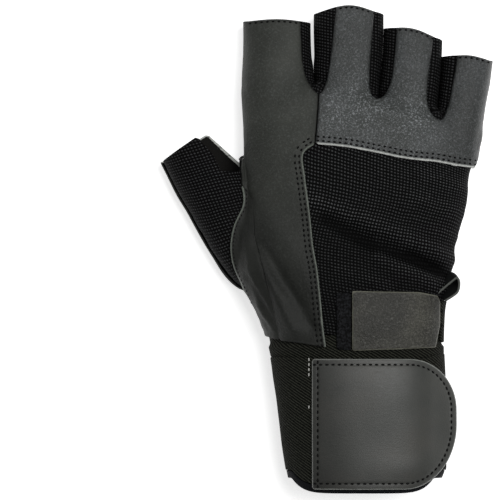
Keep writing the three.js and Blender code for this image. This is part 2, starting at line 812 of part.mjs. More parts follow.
// The origin lies on the surface, under the middle of the glove's outline
const box = new THREE.Box3().setFromObject(glove);
const middle = box.getCenter(new THREE.Vector3());
glove.children.forEach((mesh) => mesh.position.set(-middle.x, -middle.y, -box.min.z));

export default glove;
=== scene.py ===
"""Half-finger weightlifting glove with a wrist wrap, lying palm down on a pale surface."""
import logging
import math
from dataclasses import dataclass, field
from enum import Enum
from functools import partial
from typing import Callable, Iterable, NamedTuple, Optional, Sequence

import bmesh
import bpy
import numpy as np
from mathutils import Matrix, Vector, noise
from mathutils.bvhtree import BVHTree


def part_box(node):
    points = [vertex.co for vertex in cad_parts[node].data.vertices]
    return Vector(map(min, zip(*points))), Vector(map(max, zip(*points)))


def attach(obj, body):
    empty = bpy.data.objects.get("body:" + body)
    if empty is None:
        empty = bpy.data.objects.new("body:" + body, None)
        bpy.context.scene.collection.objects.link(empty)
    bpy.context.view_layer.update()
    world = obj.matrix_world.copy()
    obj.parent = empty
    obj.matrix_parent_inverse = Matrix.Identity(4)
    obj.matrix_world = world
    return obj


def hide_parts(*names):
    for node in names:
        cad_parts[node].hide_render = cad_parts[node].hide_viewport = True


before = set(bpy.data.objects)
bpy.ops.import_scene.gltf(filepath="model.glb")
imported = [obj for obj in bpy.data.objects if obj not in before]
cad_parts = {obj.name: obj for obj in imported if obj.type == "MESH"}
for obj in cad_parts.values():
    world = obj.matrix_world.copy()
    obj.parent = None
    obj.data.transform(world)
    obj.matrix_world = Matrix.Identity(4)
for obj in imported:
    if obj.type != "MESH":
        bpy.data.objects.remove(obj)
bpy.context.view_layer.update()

LOG = logging.getLogger("glove")

# Lengths below are millimetres, and this turns them into the frame's metres
MM = 0.001

# Sizes of the form, measured over the knit
KNUCKLE_WIDTH = 104.0
PALM_LENGTH = 110.0
FINGER_LENGTH = 40.0
THUMB_WIDTH = 31.0
CUFF_WIDTH = 74.0
CUFF_LENGTH = 65.0

# Heights that the form keeps as it lies
PALM_DEPTH = 30.0
FINGER_DEPTH = 18.0
THUMB_DEPTH = 22.0
CUFF_DEPTH = 37.0

# Walls, the clearance between plies and how far knit runs on under leather
KNIT_WALL = 1.4
LEATHER_WALL = 1.4
OVERLAY_WALL = 1.0
WRAP_WALL = 1.4
HEM_WALL = 1.0
PATCH_WALL = 1.2
HOOK_WALL = 0.9
TAB_ELASTIC_WALL = 1.1
PLY_GAP = 0.3
SEAM_GAP = 0.3
CREASE_GAP = 0.06
LAP = 4.0
SEAM_HEIGHT = 11.0

# Levels of the outer faces, measured outwards from the knit's outer face
LEATHER_LEVEL = PLY_GAP + LEATHER_WALL
OVERLAY_LEVEL = LEATHER_LEVEL + PLY_GAP + OVERLAY_WALL
WRAP_LEVEL = PLY_GAP + WRAP_WALL

# Shape of an oval section
WIDEST_SHARE = 0.42
PRESSING = 1.22
BODY_SQUARENESS = 2.35
FINGER_SQUARENESS = 2.25

# The line of the knuckles falls towards the little finger and bows forwards in the middle
KNUCKLE_SLOPE = 0.21
KNUCKLE_BOW = 3.0
SLANT_FROM = 0.5

# The wrap's leather end
PATCH_LENGTH = 64.0
PATCH_WIDTH = 57.0
PATCH_START = -22.4
PATCH_TOP = -6.2
PATCH_STEEPEST = 0.85

# The ribbon loop
LOOP_WIDTH = 7.0
LOOP_THICKNESS = 0.9
LOOP_HEIGHT = 25.0

# The open end, whose corners turn up: its place as a share of the cuff's length, how far they
# rise, where they stand as a share of its width, how full its curve is, and its binding's width
CUFF_FOOT = -0.998
FOOT_RISE = 6.5
FOOT_REACH = 0.42
FOOT_FULLNESS = 7
HEM_WIDTH = 3.2

# A place past every mouth, as a share along the glove, and a length past every edge
PAST_ALL = 2.6
FAR_OUT = 2 * KNUCKLE_WIDTH + PALM_LENGTH

# Spacing of the mesh on the forms
GRAIN = 1.25

# How far past a panel's edge its distance is kept, how far beside it the skin stays before the cut,
# and how far in the finishes still read their distance from an edge
DEPTH_KEPT = 9.0
CUT_MARGIN = 3.0
EDGE_KEPT = 20.0

# A turned edge ends this near to upright, and the shade layer, painted shade among it, never hides more of a
# colour than this
ROLL_FULLNESS = 0.98
DEEPEST_SHADE = 0.95

# How far off in metres stitches are cast from, and the least upward lean of what they pierce
CAST_FROM = 0.2
LEAST_LEAN = 0.12

# The palm side sinks this much, so that its swells stay off the floor
PALM_SINK = 0.1

Plan = Sequence[tuple[float, float]]
Amount = float | Callable[[np.ndarray], np.ndarray]


class Station(NamedTuple):
    """A section of the hand or a finger: shares of its length, width and height."""

    along: float
    left: float
    right: float
    height: float


class Mouth(NamedTuple):
    """Places along the glove where a finger's mouth ends."""

    left: float
    middle: float
    right: float


class ThumbStation(NamedTuple):
    """A section of the thumb: place as shares of the palm, width and height of the thumb."""

    across: float
    along: float
    width: float
    height: float


class Crease(NamedTuple):
    """A crease along a soft line of shares, with its width and rise in mm."""

    line: Plan
    width: float
    rise: float


class Swell(NamedTuple):
    """Soft uneven swells of a hide or a cloth: their breadth and height in mm, and a shift."""

    size: float
    rise: float
    seed: float


class Fade(NamedTuple):
    """A darkening through the shade layer that deepens between two places in mm, across the glove (0) or
    along it (1).
    """

    axis: int
    start: float
    end: float
    depth: float


CUFF_ROWS = [
    Station(-1.1, -0.4, 0.425, 0.93),
    Station(-0.96, -0.412, 0.436, 0.95),
    Station(-0.84, -0.433, 0.476, 0.97),
    Station(-0.72, -0.449, 0.47, 0.98),
    Station(-0.51, -0.473, 0.473, 1.0),
    Station(-0.24, -0.504, 0.477, 1.0),
    Station(-0.05, -0.53, 0.47, 0.97),
]
HAND_ROWS = [
    Station(0.08, -0.41, 0.336, 1.17),
    Station(0.16, -0.448, 0.343, 1.16),
    Station(0.24, -0.501, 0.368, 1.15),
    Station(0.32, -0.527, 0.384, 1.13),
    Station(0.4, -0.533, 0.396, 1.1),
    Station(0.48, -0.522, 0.417, 1.07),
    Station(0.56, -0.497, 0.441, 1.04),
    Station(0.64, -0.483, 0.45, 1.0),
    Station(0.72, -0.483, 0.455, 0.95),
    Station(0.8, -0.487, 0.47, 0.89),
    Station(0.88, -0.491, 0.489, 0.82),
    Station(0.94, -0.49, 0.499, 0.75),
    Station(0.98, -0.475, 0.49, 0.66),
]
INDEX_ROWS = [
    Station(0.84, -0.482, -0.2, 1.08),
    Station(1.0, -0.49, -0.194, 1.14),
    Station(1.28, -0.491, -0.207, 1.07),
    Station(1.55, -0.486, -0.214, 1.02),
    Station(1.82, -0.487, -0.216, 1.0),
    Station(2.1, -0.487, -0.216, 1.0),
]
MIDDLE_ROWS = [
    Station(0.82, -0.169, 0.051, 1.12),
    Station(1.0, -0.183, 0.064, 1.2),
    Station(1.25, -0.198, 0.077, 1.12),
    Station(1.5, -0.201, 0.085, 1.05),
    Station(1.77, -0.203, 0.088, 1.02),
    Station(2.15, -0.2, 0.09, 1.0),
]
RING_ROWS = [
    Station(0.76, 0.088, 0.29, 1.1),
    Station(0.93, 0.075, 0.313, 1.16),
    Station(1.12, 0.08, 0.327, 1.09),
    Station(1.38, 0.093, 0.333, 1.02),
    Station(1.62, 0.1, 0.337, 0.99),
    Station(1.95, 0.101, 0.338, 0.98),
]
LITTLE_ROWS = [
    Station(0.72, 0.33, 0.478, 1.02),
    Station(0.86, 0.325, 0.497, 1.06),
    Station(0.98, 0.33, 0.517, 1.0),
    Station(1.17, 0.34, 0.533, 0.94),
    Station(1.38, 0.349, 0.544, 0.91),
    Station(1.62, 0.353, 0.552, 0.9),
]
FINGERS = (INDEX_ROWS, MIDDLE_ROWS, RING_ROWS, LITTLE_ROWS)
THUMB_ROWS = [
    ThumbStation(-0.783, 0.92, 1.02, 1.0),
    ThumbStation(-0.712, 0.806, 1.01, 1.0),
    ThumbStation(-0.645, 0.678, 1.0, 1.02),
    ThumbStation(-0.608, 0.601, 0.94, 1.02),
    ThumbStation(-0.57, 0.516, 0.86, 1.0),
    ThumbStation(-0.515, 0.42, 0.84, 0.98),
    ThumbStation(-0.44, 0.33, 0.84, 0.93),
    ThumbStation(-0.34, 0.25, 0.56, 0.8),
]
MOUTHS = [
    Mouth(1.82, 1.835, 1.805),
    Mouth(1.905, 1.99, 1.9),
    Mouth(1.745, 1.73, 1.61),
    Mouth(1.432, 1.44, 1.387),
]
FOLDS = [
    Crease([(-0.419, 0.396), (-0.216, 0.076)], 5.4, -1.2),
    Crease([(-0.44, 0.332), (-0.3, 0.064)], 4.8, 0.96),
    Crease([(-0.39, 0.46), (-0.24, 0.26)], 6.6, 0.6),
    Crease([(-0.03, 0.556), (0.36, 0.328)], 6.0, 0.96),
    Crease([(-0.05, 0.448), (0.334, 0.288)], 4.8, -0.96),
    Crease([(0.03, 0.36), (0.309, 0.228)], 4.8, 0.72),
]

# Slots between the finger panels, from one mouth corner through the crotch to the other
SLOTS = {
    "fourchette_index_middle": [
        (-0.262, 2.1), (-0.243, 1.32), (-0.186, 1.015), (-0.146, 1.25), (-0.104, 2.1),
    ],
    "fourchette_middle_ring": [(0.06, 2.1), (0.036, 1.16), (0.066, 0.986), (0.122, 1.2), (0.158, 2.1)],
    "fourchette_ring_little": [
        (0.318, 1.85), (0.279, 1.0), (0.321, 0.903), (0.363, 0.964), (0.428, 1.85),
    ],
}

# Seams and edges seen from above, as shares of the knuckles' width and of the length
KNUCKLE_SEAM = [(-0.205, PAST_ALL), (-0.185, 1.013), (-0.187, 0.952), (-0.193, 0.88), (-0.201, 0.799)]
KNUCKLE_HEM = [
    (-0.201, 0.799), (-0.072, 0.787), (0.057, 0.764), (0.192, 0.739), (0.306, 0.729),
    (0.404, 0.714), (0.499, 0.706), (0.56, 0.7),
]
STRIP_EDGE = [
    (-0.201, 0.799), (-0.25, 0.757), (-0.242, 0.664), (-0.223, 0.523), (-0.208, 0.388),
    (-0.189, 0.282), (-0.166, 0.067), (-0.155, -0.02),
]
STRIP_FOOT = [(-0.155, -0.02), (-0.261, 0.006), (-0.351, 0.017)]
GUSSET_FOOT = [(-0.351, 0.017), (-0.401, 0.032), (-0.43, 0.05)]
STRIP_SIDE = [
    (-0.43, 0.05), (-0.49, 0.188), (-0.54, 0.296), (-0.555, 0.36), (-0.555, 0.416),
    (-0.54, 0.48), (-0.503, 0.56), (-0.503, 0.64),
]
GUSSET_SEAM = [(-0.503, 0.64), (-0.465, 0.568), (-0.457, 0.436), (-0.41, 0.276), (-0.351, 0.017)]
INDEX_OUTER = [(-0.503, 0.76), (-0.512, 0.95), (-0.7, 1.1), (-0.7, PAST_ALL)]
THUMB_SEAM = [
    (-0.505, 0.72), (-0.49, 0.6), (-0.33, 0.648), (-0.258, 0.56), (-0.245, 0.42),
    (-0.212, 0.27), (-0.27, 0.13), (-0.45, 0.045),
]
THUMB_BACK_RIM = [(-0.87, 0.72), (-0.698, 0.832), (-0.63, 0.76), (-0.596, 0.692), (-0.495, 0.696)]
THUMB_PALM_RIM = [(-0.87, 0.725), (-0.656, 0.852), (-0.505, 0.725)]
OVERLAY_SEAM = [(-0.43, 0.93), (-0.228, 0.9), (0.0, 0.86), (0.22, 0.81), (0.4, 0.765)]
OVERLAY_FOOT = [(0.36, 0.36), (-0.2, 0.36), (-0.215, 0.56), (-0.3, 0.67), (-0.43, 0.655)]
HEEL_PATCH = [(0.3, 0.34), (-0.2, 0.34), (-0.19, 0.28), (-0.24, 0.12), (0.26, 0.1)]
TAB_OUTLINE = [
    (-0.046, 0.212), (-0.046, -0.044), (0.19, -0.03), (0.31, -0.02), (0.33, 0.08),
    (0.33, 0.17), (0.318, 0.194), (0.24, 0.208),
]
HOOK_OUTLINE = [(-0.112, 0.204), (-0.112, -0.03), (-0.05, -0.04), (-0.05, 0.204)]
TAB_ELASTIC_OUTLINE = [(0.334, 0.175), (0.334, 0.01), (0.6, 0.01), (0.6, 0.175)]
WRAP_TOP = [(-0.6, -0.073), (-0.23, -0.088), (0.2, -0.092), (0.3, -0.072), (0.42, -0.035)]
LOOP_LOWER = [
    (0.307, 0.204), (0.324, 0.234), (0.339, 0.264), (0.357, 0.281), (0.377, 0.287),
    (0.396, 0.277), (0.399, 0.262), (0.38, 0.25), (0.352, 0.231), (0.318, 0.195),
]
LOOP_UPPER = [
    (0.316, 0.205), (0.336, 0.22), (0.357, 0.236), (0.377, 0.251), (0.394, 0.264),
    (0.403, 0.262), (0.408, 0.248), (0.406, 0.222), (0.394, 0.202), (0.35, 0.175),
]

# The frame's place of the point where the middle of the palm's width meets the wrist
ORIGIN = np.array((
    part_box("wrap_patch")[0][0] / MM - PATCH_START,
    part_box("cuff_elastic")[1][1] / MM - LAP,
    0.0,
))


def place_along(share: float) -> float:
    """Place along the glove in mm: the cuff is negative, the palm ends at 1 and fingers run on.

    Args:
        share: below 0 a share of the cuff, up to 1 of the palm and past 1 of a finger.

    Returns:
        The place in mm.
    """
    if share < 0:
        return share * CUFF_LENGTH
    if share <= 1:
        return share * PALM_LENGTH
    return PALM_LENGTH + (share - 1) * FINGER_LENGTH


def plan(line: Plan) -> np.ndarray:
    """A line given in shares, as points in mm seen from above."""
    return np.array([(across * KNUCKLE_WIDTH, place_along(along)) for across, along in line])


def eased(keys: np.ndarray, values: np.ndarray, at: np.ndarray) -> np.ndarray:
    """Smooth values between the rows of a table.

    Args:
        keys: rising places of the rows.
        values: one row of numbers for each key.
        at: places to read.

    Returns:
        One row of numbers for each place.
    """
    slopes = np.gradient(values, keys, axis=0)
    found = np.clip(np.searchsorted(keys, at) - 1, 0, len(keys) - 2)
    span = (keys[found + 1] - keys[found])[:, None]
    t = np.clip((at - keys[found])[:, None] / span, 0, 1)
    start, end = values[found], values[found + 1]
    leave, arrive = slopes[found] * span, slopes[found + 1] * span
    return (
        start * (2 * t**3 - 3 * t**2 + 1) + leave * (t**3 - 2 * t**2 + t)
        + end * (3 * t**2 - 2 * t**3) + arrive * (t**3 - t**2)
    )


def soft(line: Plan, count: int = 60) -> np.ndarray:
    """A smooth curve through the points of a line, in mm seen from above.

    Args:
        line: points in shares.
        count: how many points the curve gets.

    Returns:
        Points in mm.
    """
    points = plan(line)
    keys = np.arange(len(points), dtype=float)
    return eased(keys, points, np.linspace(0, keys[-1], count))


def smoothstep(value: np.ndarray, low: float, high: float) -> np.ndarray:
    """An eased step from 0 at low to 1 at high."""
    share = np.clip((value - low) / (high - low), 0, 1)
    return share * share * (3 - 2 * share)


def distance_to(line: np.ndarray, points: np.ndarray) -> np.ndarray:
    """Least distance from each point to a line of straight stretches, seen from above.

    Args:
        line: the line's points in mm.
        points: places seen from above.

    Returns:
        Distances in mm.
    """
    nearest = np.full(len(points), np.inf)
    for start, end in zip(line[:-1], line[1:]):
        run = end - start
        length = float(run @ run)
        if length == 0:
            continue
        share = np.clip((points - start) @ run / length, 0, 1)
        gap = points - start - share[:, None] * run
        nearest = np.minimum(nearest, np.einsum("ij,ij->i", gap, gap))
    return np.sqrt(nearest)


def lengths_along(line: np.ndarray) -> np.ndarray:
    """Length of a line up to each of its points."""
    return np.concatenate([[0.0], np.cumsum(np.linalg.norm(np.diff(line, axis=0), axis=1))])


def ring_of(outline: np.ndarray) -> np.ndarray:
    """An outline with its first point again at its end."""
    return np.vstack([outline, outline[:1]])


def signed_distance(outline: np.ndarray, points: np.ndarray) -> np.ndarray:
    """Distance from each point to a closed outline, above zero inside it.

    Args:
        outline: its points in mm, in either order.
        points: places seen from above.

    Returns:
        Distances in mm.
    """
    x, y = points.T
    within = np.zeros(len(points), bool)
    ring = ring_of(outline)
    for (ax, ay), (bx, by) in zip(ring[:-1], ring[1:]):
        if ay == by:
            continue
        crosses = (ay > y) != (by > y)
        within ^= crosses & (x < (bx - ax) * (y - ay) / (by - ay) + ax)
    return np.where(within, 1.0, -1.0) * distance_to(ring, points)


def creased(points: np.ndarray, creases: Iterable[Crease]) -> np.ndarray:
    """How far creases lift a skin at each point, in mm, or sink it where their rise is below zero.

    Args:
        points: places in mm.
        creases: the creases.

    Returns:
        The lift in mm.
    """
    lift = np.zeros(len(points))
    for crease in creases:
        spread = distance_to(soft(crease.line, 24), points[:, :2]) / crease.width
        lift += crease.rise * np.exp(-spread * spread)
    return lift


def swelled(points: np.ndarray, swells: Iterable[Swell]) -> np.ndarray:
    """How far swells lift a skin at each point, in mm.

    Args:
        points: places in mm.
        swells: the swells.

    Returns:
        The lift in mm.
    """
    lift = np.zeros(len(points))
    for size, rise, seed in swells:
        shift = Vector((seed, 0, 0))
        lift += [rise * noise.noise(Vector(place) / size + shift) for place in points]
    return lift


def faded(points: np.ndarray, fades: Iterable[Fade]) -> np.ndarray:
    """How far the colour is darkened at each point, as a share.

    Args:
        points: places in mm.
        fades: the fades, which add up.

    Returns:
        Shares from 0.
    """
    depth = np.zeros(len(points))
    for fade in fades:
        depth += fade.depth * smoothstep(points[:, fade.axis], fade.start, fade.end)
    return depth


def amount_at(points: np.ndarray, amount: Amount) -> np.ndarray:
    """An amount at each point, from one number or from a function of the points."""
    return np.zeros(len(points)) + (amount(points) if callable(amount) else amount)


def oval(
    angle: np.ndarray, half: np.ndarray, height: np.ndarray, rest: np.ndarray,
    squareness: float, level: float,
) -> tuple[np.ndarray, np.ndarray]:
    """Points of oval sections, grown by a level and pressed flat where they lie.

    Args:
        angle: place round the section, from 0 at its right through a quarter turn at its top.
        half: half of the width.
        height: height over the surface that it rests on.
        rest: height of that surface's ply.
        squareness: 2 for an ellipse and more for squarer corners.
        level: how far the skin lies outside the knit.

    Returns:
        Distances across from the middle, and heights.
    """
    def bend(value: np.ndarray) -> np.ndarray:
        """A sine or cosine, bent to the section's squareness."""
        return np.sign(value) * np.abs(value) ** (2 / squareness)

    rise = height * (1 - WIDEST_SHARE)
    drop = height * WIDEST_SHARE * PRESSING
    up = bend(np.sin(angle)) * (np.where(np.sin(angle) > 0, rise, drop) + level)
    height_of = np.maximum(rest + height * WIDEST_SHARE + up, rest - level)
    return bend(np.cos(angle)) * (half + level), height_of


# Meshes

def in_frame(points: np.ndarray) -> np.ndarray:
    """Points in mm, moved into the frame and turned into metres."""
    return (points + ORIGIN) * MM


def from_frame(points: np.ndarray) -> np.ndarray:
    """Points of the frame in metres, turned into mm from the wrist."""
    return points / MM - ORIGIN


def coordinates(bm: bmesh.types.BMesh) -> np.ndarray:
    """Places of a mesh's vertices, in mm from the wrist."""
    return from_frame(np.array([vert.co[:] for vert in bm.verts]))


def move_to(bm: bmesh.types.BMesh, points: np.ndarray) -> None:
    """Puts a mesh's vertices at places given in mm from the wrist."""
    for vert, place in zip(bm.verts, in_frame(points)):
        vert.co = place


def store(bm: bmesh.types.BMesh, name: str, values: Iterable[float]) -> bmesh.types.BMLayerItem:
    """Keeps a value at each vertex of a mesh in a new layer, and gives the layer.

    Args:
        bm: the mesh.
        name: the layer's name.
        values: one for each vertex.

    Returns:
        The layer.
    """
    layer = bm.verts.layers.float.new(name)
    for vert, value in zip(bm.verts, values):
        vert[layer] = float(value)
    return layer


def flat_grid(columns: int, rows: int) -> tuple[bmesh.types.BMesh, np.ndarray]:
    """A flat grid of quads, and the places of its vertices as shares of its sides.

    Args:
        columns: quads across.
        rows: quads along.

    Returns:
        The mesh, and two shares for each vertex.
    """
    bm = bmesh.new()
    bmesh.ops.create_grid(bm, x_segments=columns, y_segments=rows, size=1)
    return bm, (np.array([vert.co[:2] for vert in bm.verts]) + 1) / 2


def map_flat(bm: bmesh.types.BMesh, flat: np.ndarray) -> None:
    """Gives a mesh its map, from a place in mm for each vertex.

    Args:
        bm: the mesh.
        flat: two numbers for each vertex.
    """
    layer = bm.loops.layers.uv.new("UVMap")
    for face in bm.faces:
        for loop in face.loops:
            loop[layer].uv = flat[loop.vert.index]


def tube(around: int, places: np.ndarray, shape: Callable) -> bmesh.types.BMesh:
    """A closed skin made by rolling up a flat grid, with its girth and length as its map in mm.

    Args:
        around: how many quads lie round it.
        places: the places of its rings, in mm.
        shape: gives points in mm for places round and along it.

    Returns:
        The mesh, with closed ends.
    """
    rings = len(places)
    bm, share = flat_grid(around, rings - 1)
    along = places[np.rint(share[:, 1] * (rings - 1)).astype(int)]
    points = shape(share[:, 0] * math.tau - math.pi / 2, along)
    steps = np.linalg.norm(np.diff(points.reshape(rings, around + 1, 3), axis=1), axis=2)
    girth = np.hstack([np.zeros((rings, 1)), np.cumsum(steps, axis=1)])
    girth -= girth[:, around // 2, None]
    map_flat(bm, np.column_stack([girth.ravel(), along]))
    move_to(bm, points)
    bmesh.ops.remove_doubles(bm, verts=bm.verts, dist=1e-6)
    ends = [edge for edge in bm.edges if edge.is_boundary]
    caps = bmesh.ops.holes_fill(bm, edges=ends, sides=0)["faces"]
    bmesh.ops.poke(bm, faces=caps)
    bmesh.ops.recalc_face_normals(bm, faces=bm.faces)
    return bm


def cut_along(
    bm: bmesh.types.BMesh, layer: bmesh.types.BMLayerItem, level: float, drop: bool = False,
) -> None:
    """Cuts edges into a mesh where a value passes a level.

    Args:
        bm: the mesh.
        layer: the vertex layer that holds the value.
        level: the value to cut at.
        drop: whether what lies below the level goes.
    """
    slight = 1e-4
    crossing = []
    for edge in bm.edges:
        first, second = edge.verts
        low, high = first[layer] - level, second[layer] - level
        if low * high < 0 and min(abs(low), abs(high)) > slight:
            crossing.append((edge, first, low / (low - high)))
    for edge, first, share in crossing:
        fresh = bmesh.utils.edge_split(edge, first, share)[1]
        fresh[layer] = level
    line = [vert for vert in bm.verts if abs(vert[layer] - level) <= slight]
    bmesh.ops.connect_verts(bm, verts=line)
    if drop:
        below = [face for face in bm.faces if sum(v[layer] - level for v in face.verts) <= 0]
        bmesh.ops.delete(bm, geom=below, context="FACES")


def united(skins: list[bmesh.types.BMesh], name: str) -> bmesh.types.BMesh:
    """Closed skins joined into one, with the creases between them worn soft.

    Args:
        skins: the skins, the first of which the others are added to.
        name: a name for the work.

    Returns:
        One closed skin.
    """
    objects = [object_of(bm, f"{name}_{i}") for i, bm in enumerate(skins)]
    for other in objects[1:]:
        joint = objects[0].modifiers.new("join", "BOOLEAN")
        joint.operation = "UNION"
        joint.solver = "MANIFOLD"
        joint.object = other
    bpy.context.view_layer.update()
    shaped = objects[0].evaluated_get(bpy.context.evaluated_depsgraph_get())
    whole = bmesh.new()
    whole.from_mesh(shaped.to_mesh())
    for item in objects:
        bpy.data.objects.remove(item)
    soften_creases(whole)
    return whole


def soften_creases(bm: bmesh.types.BMesh, sharp: float = 0.3, rings: int = 4, rounds: int = 14) -> None:
    """Smooths a skin around its sharp inner corners.

    Args:
        bm: the skin.
        sharp: angle in radians past which an edge is a crease.
        rings: how many rings of quads round a crease are smoothed.
        rounds: how often.
    """
    chosen = {
        vert for edge in bm.edges if edge.calc_face_angle(0) > sharp for vert in edge.verts
    }
    for _ in range(rings):
        chosen |= {edge.other_vert(vert) for vert in chosen for edge in vert.link_edges}
    for _ in range(rounds):
        bmesh.ops.smooth_vert(
            bm, verts=list(chosen), factor=0.5, use_axis_x=True, use_axis_y=True, use_axis_z=True,
        )


def object_of(bm: bmesh.types.BMesh, name: str) -> bpy.types.Object:
    """A shown object that holds a mesh, which is used up.

    Args:
        bm: the mesh.
        name: the object's name.

    Returns:
        The object.
    """
    mesh = bpy.data.meshes.new(name)
    bm.to_mesh(mesh)
    bm.free()
    piece = bpy.data.objects.new(name, mesh)
    bpy.context.scene.collection.objects.link(piece)
    return piece


# Forms

@dataclass(frozen=True)
class Form:
    """A hollow form, made from a table of sections along it."""

    around: int = 72

    def table(self) -> tuple[np.ndarray, np.ndarray]:
        """Places of the sections along the form, and one row of sizes for each."""
        raise NotImplementedError

    def shape(self, angle: np.ndarray, along: np.ndarray, level: float) -> np.ndarray:
        """Points at places round and along the form, at a level."""
        raise NotImplementedError

    def section(self, along: np.ndarray) -> np.ndarray:
        """Sizes at places along the form."""
        return eased(*self.table(), along)

    def skin(self, level: float) -> bmesh.types.BMesh:
        """The form's closed skin at a level.

        Args:
            level: how far the skin lies outside the knit, in mm.

        Returns:
            The skin.
        """
        keys, _ = self.table()
        places = np.linspace(keys[0], keys[-1], round((keys[-1] - keys[0]) / GRAIN))
        return tube(self.around, places, lambda angle, along: self.shape(angle, along, level))


@dataclass(frozen=True)
class BodyForm(Form):
    """The hand and the cuff, with left, right, height, rest and front as its sizes."""

    around: int = 248
    blunt: int = 3

    def table(self) -> tuple[np.ndarray, np.ndarray]:
        """The sections of the cuff and the hand, the last few of which run to the front.

        Returns:
            Places in mm, and rows of sizes.
        """
        cuff = [
            (r.along * CUFF_LENGTH, r.left * CUFF_WIDTH, r.right * CUFF_WIDTH,
             r.height * CUFF_DEPTH, WRAP_LEVEL, 0.0)
            for r in CUFF_ROWS
        ]
        hand = [
            (r.along * PALM_LENGTH, r.left * KNUCKLE_WIDTH, r.right * KNUCKLE_WIDTH,
             r.height * PALM_DEPTH, OVERLAY_LEVEL,
             max(0, i - len(HAND_ROWS) + self.blunt + 1) / self.blunt)
            for i, r in enumerate(HAND_ROWS)
        ]
        rows = np.array(cuff + hand)
        return rows[:, 0], rows[:, 1:]

    def shape(self, angle: np.ndarray, along: np.ndarray, level: float) -> np.ndarray:
        """Points on the skin, which slants to the line of the knuckles and takes the folds.

        Args:
            angle: place round the form, in radians.
            along: place along the form, in mm.
            level: how far the skin lies outside the knit, in mm.

        Returns:
            Points in mm.
        """
        left, right, height, rest, front = self.section(along).T
        across, up = oval(angle, (right - left) / 2, height, rest, BODY_SQUARENESS, level)
        x = (left + right) / 2 + across
        slant = smoothstep(along, SLANT_FROM * PALM_LENGTH, PALM_LENGTH)
        bow = KNUCKLE_BOW * np.cos(np.pi * x / KNUCKLE_WIDTH)
        y = along + slant * (bow - KNUCKLE_SLOPE * x) + front * level
        above = smoothstep((up - rest) / height, 0, 1)
        return np.column_stack([x, y, up + above * creased(np.column_stack([x, along]), FOLDS)])


@dataclass(frozen=True)
class FingerForm(Form):
    """One finger's tube, which starts inside the hand and runs on past its mouth."""

    rows: Sequence[Station] = ()

    def table(self) -> tuple[np.ndarray, np.ndarray]:
        """The sections' left, right and height."""
        sizes = np.array([row[1:] for row in self.rows]) * (KNUCKLE_WIDTH, KNUCKLE_WIDTH, FINGER_DEPTH)
        return np.array([place_along(row.along) for row in self.rows]), sizes

    def shape(self, angle: np.ndarray, along: np.ndarray, level: float) -> np.ndarray:
        """Points on the skin, whose sections stand square to the glove's length.

        Args:
            angle: place round the form, in radians.
            along: place along the form, in mm.
            level: how far the skin lies outside the knit, in mm.

        Returns:
            Points in mm.
        """
        left, right, height = self.section(along).T
        rest = np.full(len(along), OVERLAY_LEVEL)
        across, up = oval(angle, (right - left) / 2, height, rest, FINGER_SQUARENESS, level)
        return np.column_stack([(left + right) / 2 + across, along, up])


@dataclass(frozen=True)
class ThumbForm(Form):
    """The thumb's tube, from its root inside the hand to its mouth."""

    rows: Sequence[ThumbStation] = tuple(THUMB_ROWS[::-1])

    def table(self) -> tuple[np.ndarray, np.ndarray]:
        """The sections' middles, headings, half widths and heights.

        Returns:
            Places in mm from the thumb's root, and rows of sizes.
        """
        middles = plan([(row.across, row.along) for row in self.rows])
        keys = lengths_along(middles)
        sizes = [(row.width * THUMB_WIDTH / 2, row.height * THUMB_DEPTH) for row in self.rows]
        return keys, np.hstack([middles, np.gradient(middles, keys, axis=0), sizes])

    def shape(self, angle: np.ndarray, along: np.ndarray, level: float) -> np.ndarray:
        """Points on the skin, whose sections turn with the thumb.

        Args:
            angle: place round the form, in radians.
            along: place along the form, in mm.
            level: how far the skin lies outside the knit, in mm.

        Returns:
            Points in mm.
        """
        values = self.section(along)
        ahead = values[:, 2:4] / np.linalg.norm(values[:, 2:4], axis=1)[:, None]
        side = np.column_stack([ahead[:, 1], -ahead[:, 0]])
        rest = np.full(len(along), OVERLAY_LEVEL)
        across, up = oval(angle, values[:, 4], values[:, 5], rest, FINGER_SQUARENESS, level)
        return np.column_stack([values[:, :2] + side * across[:, None], up])


@dataclass
class GloveForm:
    """Hand, cuff, fingers and thumb as one form, whose skins are kept by their level."""

    body: BodyForm = field(default_factory=BodyForm)
    skins: dict[float, bmesh.types.BMesh] = field(default_factory=dict)

    def whole(self, level: float) -> bmesh.types.BMesh:
        """A copy of the joined skin at a level.

        Args:
            level: how far the skin lies outside the knit, in mm.

        Returns:
            The skin, to be used up.
        """
        if level not in self.skins:
            parts = [self.body, *(FingerForm(rows=rows) for rows in FINGERS), ThumbForm()]
            self.skins[level] = united([part.skin(level) for part in parts], "form")
        return self.skins[level].copy()

    def hand(self, level: float) -> bmesh.types.BMesh:
        """The skin of the hand and the cuff alone at a level."""
        return self.body.skin(level)


# Regions of the form

def below(line: np.ndarray) -> np.ndarray:
    """The outline of everything below a line that runs across the glove."""
    left, right = (-FAR_OUT, line[0, 1]), (FAR_OUT, line[-1, 1])
    return np.vstack([left, line, right, (FAR_OUT, -FAR_OUT), (-FAR_OUT, -FAR_OUT)])


def mouth_line(i: int) -> np.ndarray:
    """The edge of one finger's mouth.

    Args:
        i: the finger, from the index.

    Returns:
        Points in mm.
    """
    own, mouth = FINGERS[i][-1], MOUTHS[i]
    middle = (own.left + own.right) / 2
    return soft([(own.left, mouth.left), (middle, mouth.middle), (own.right, mouth.right)], 16)


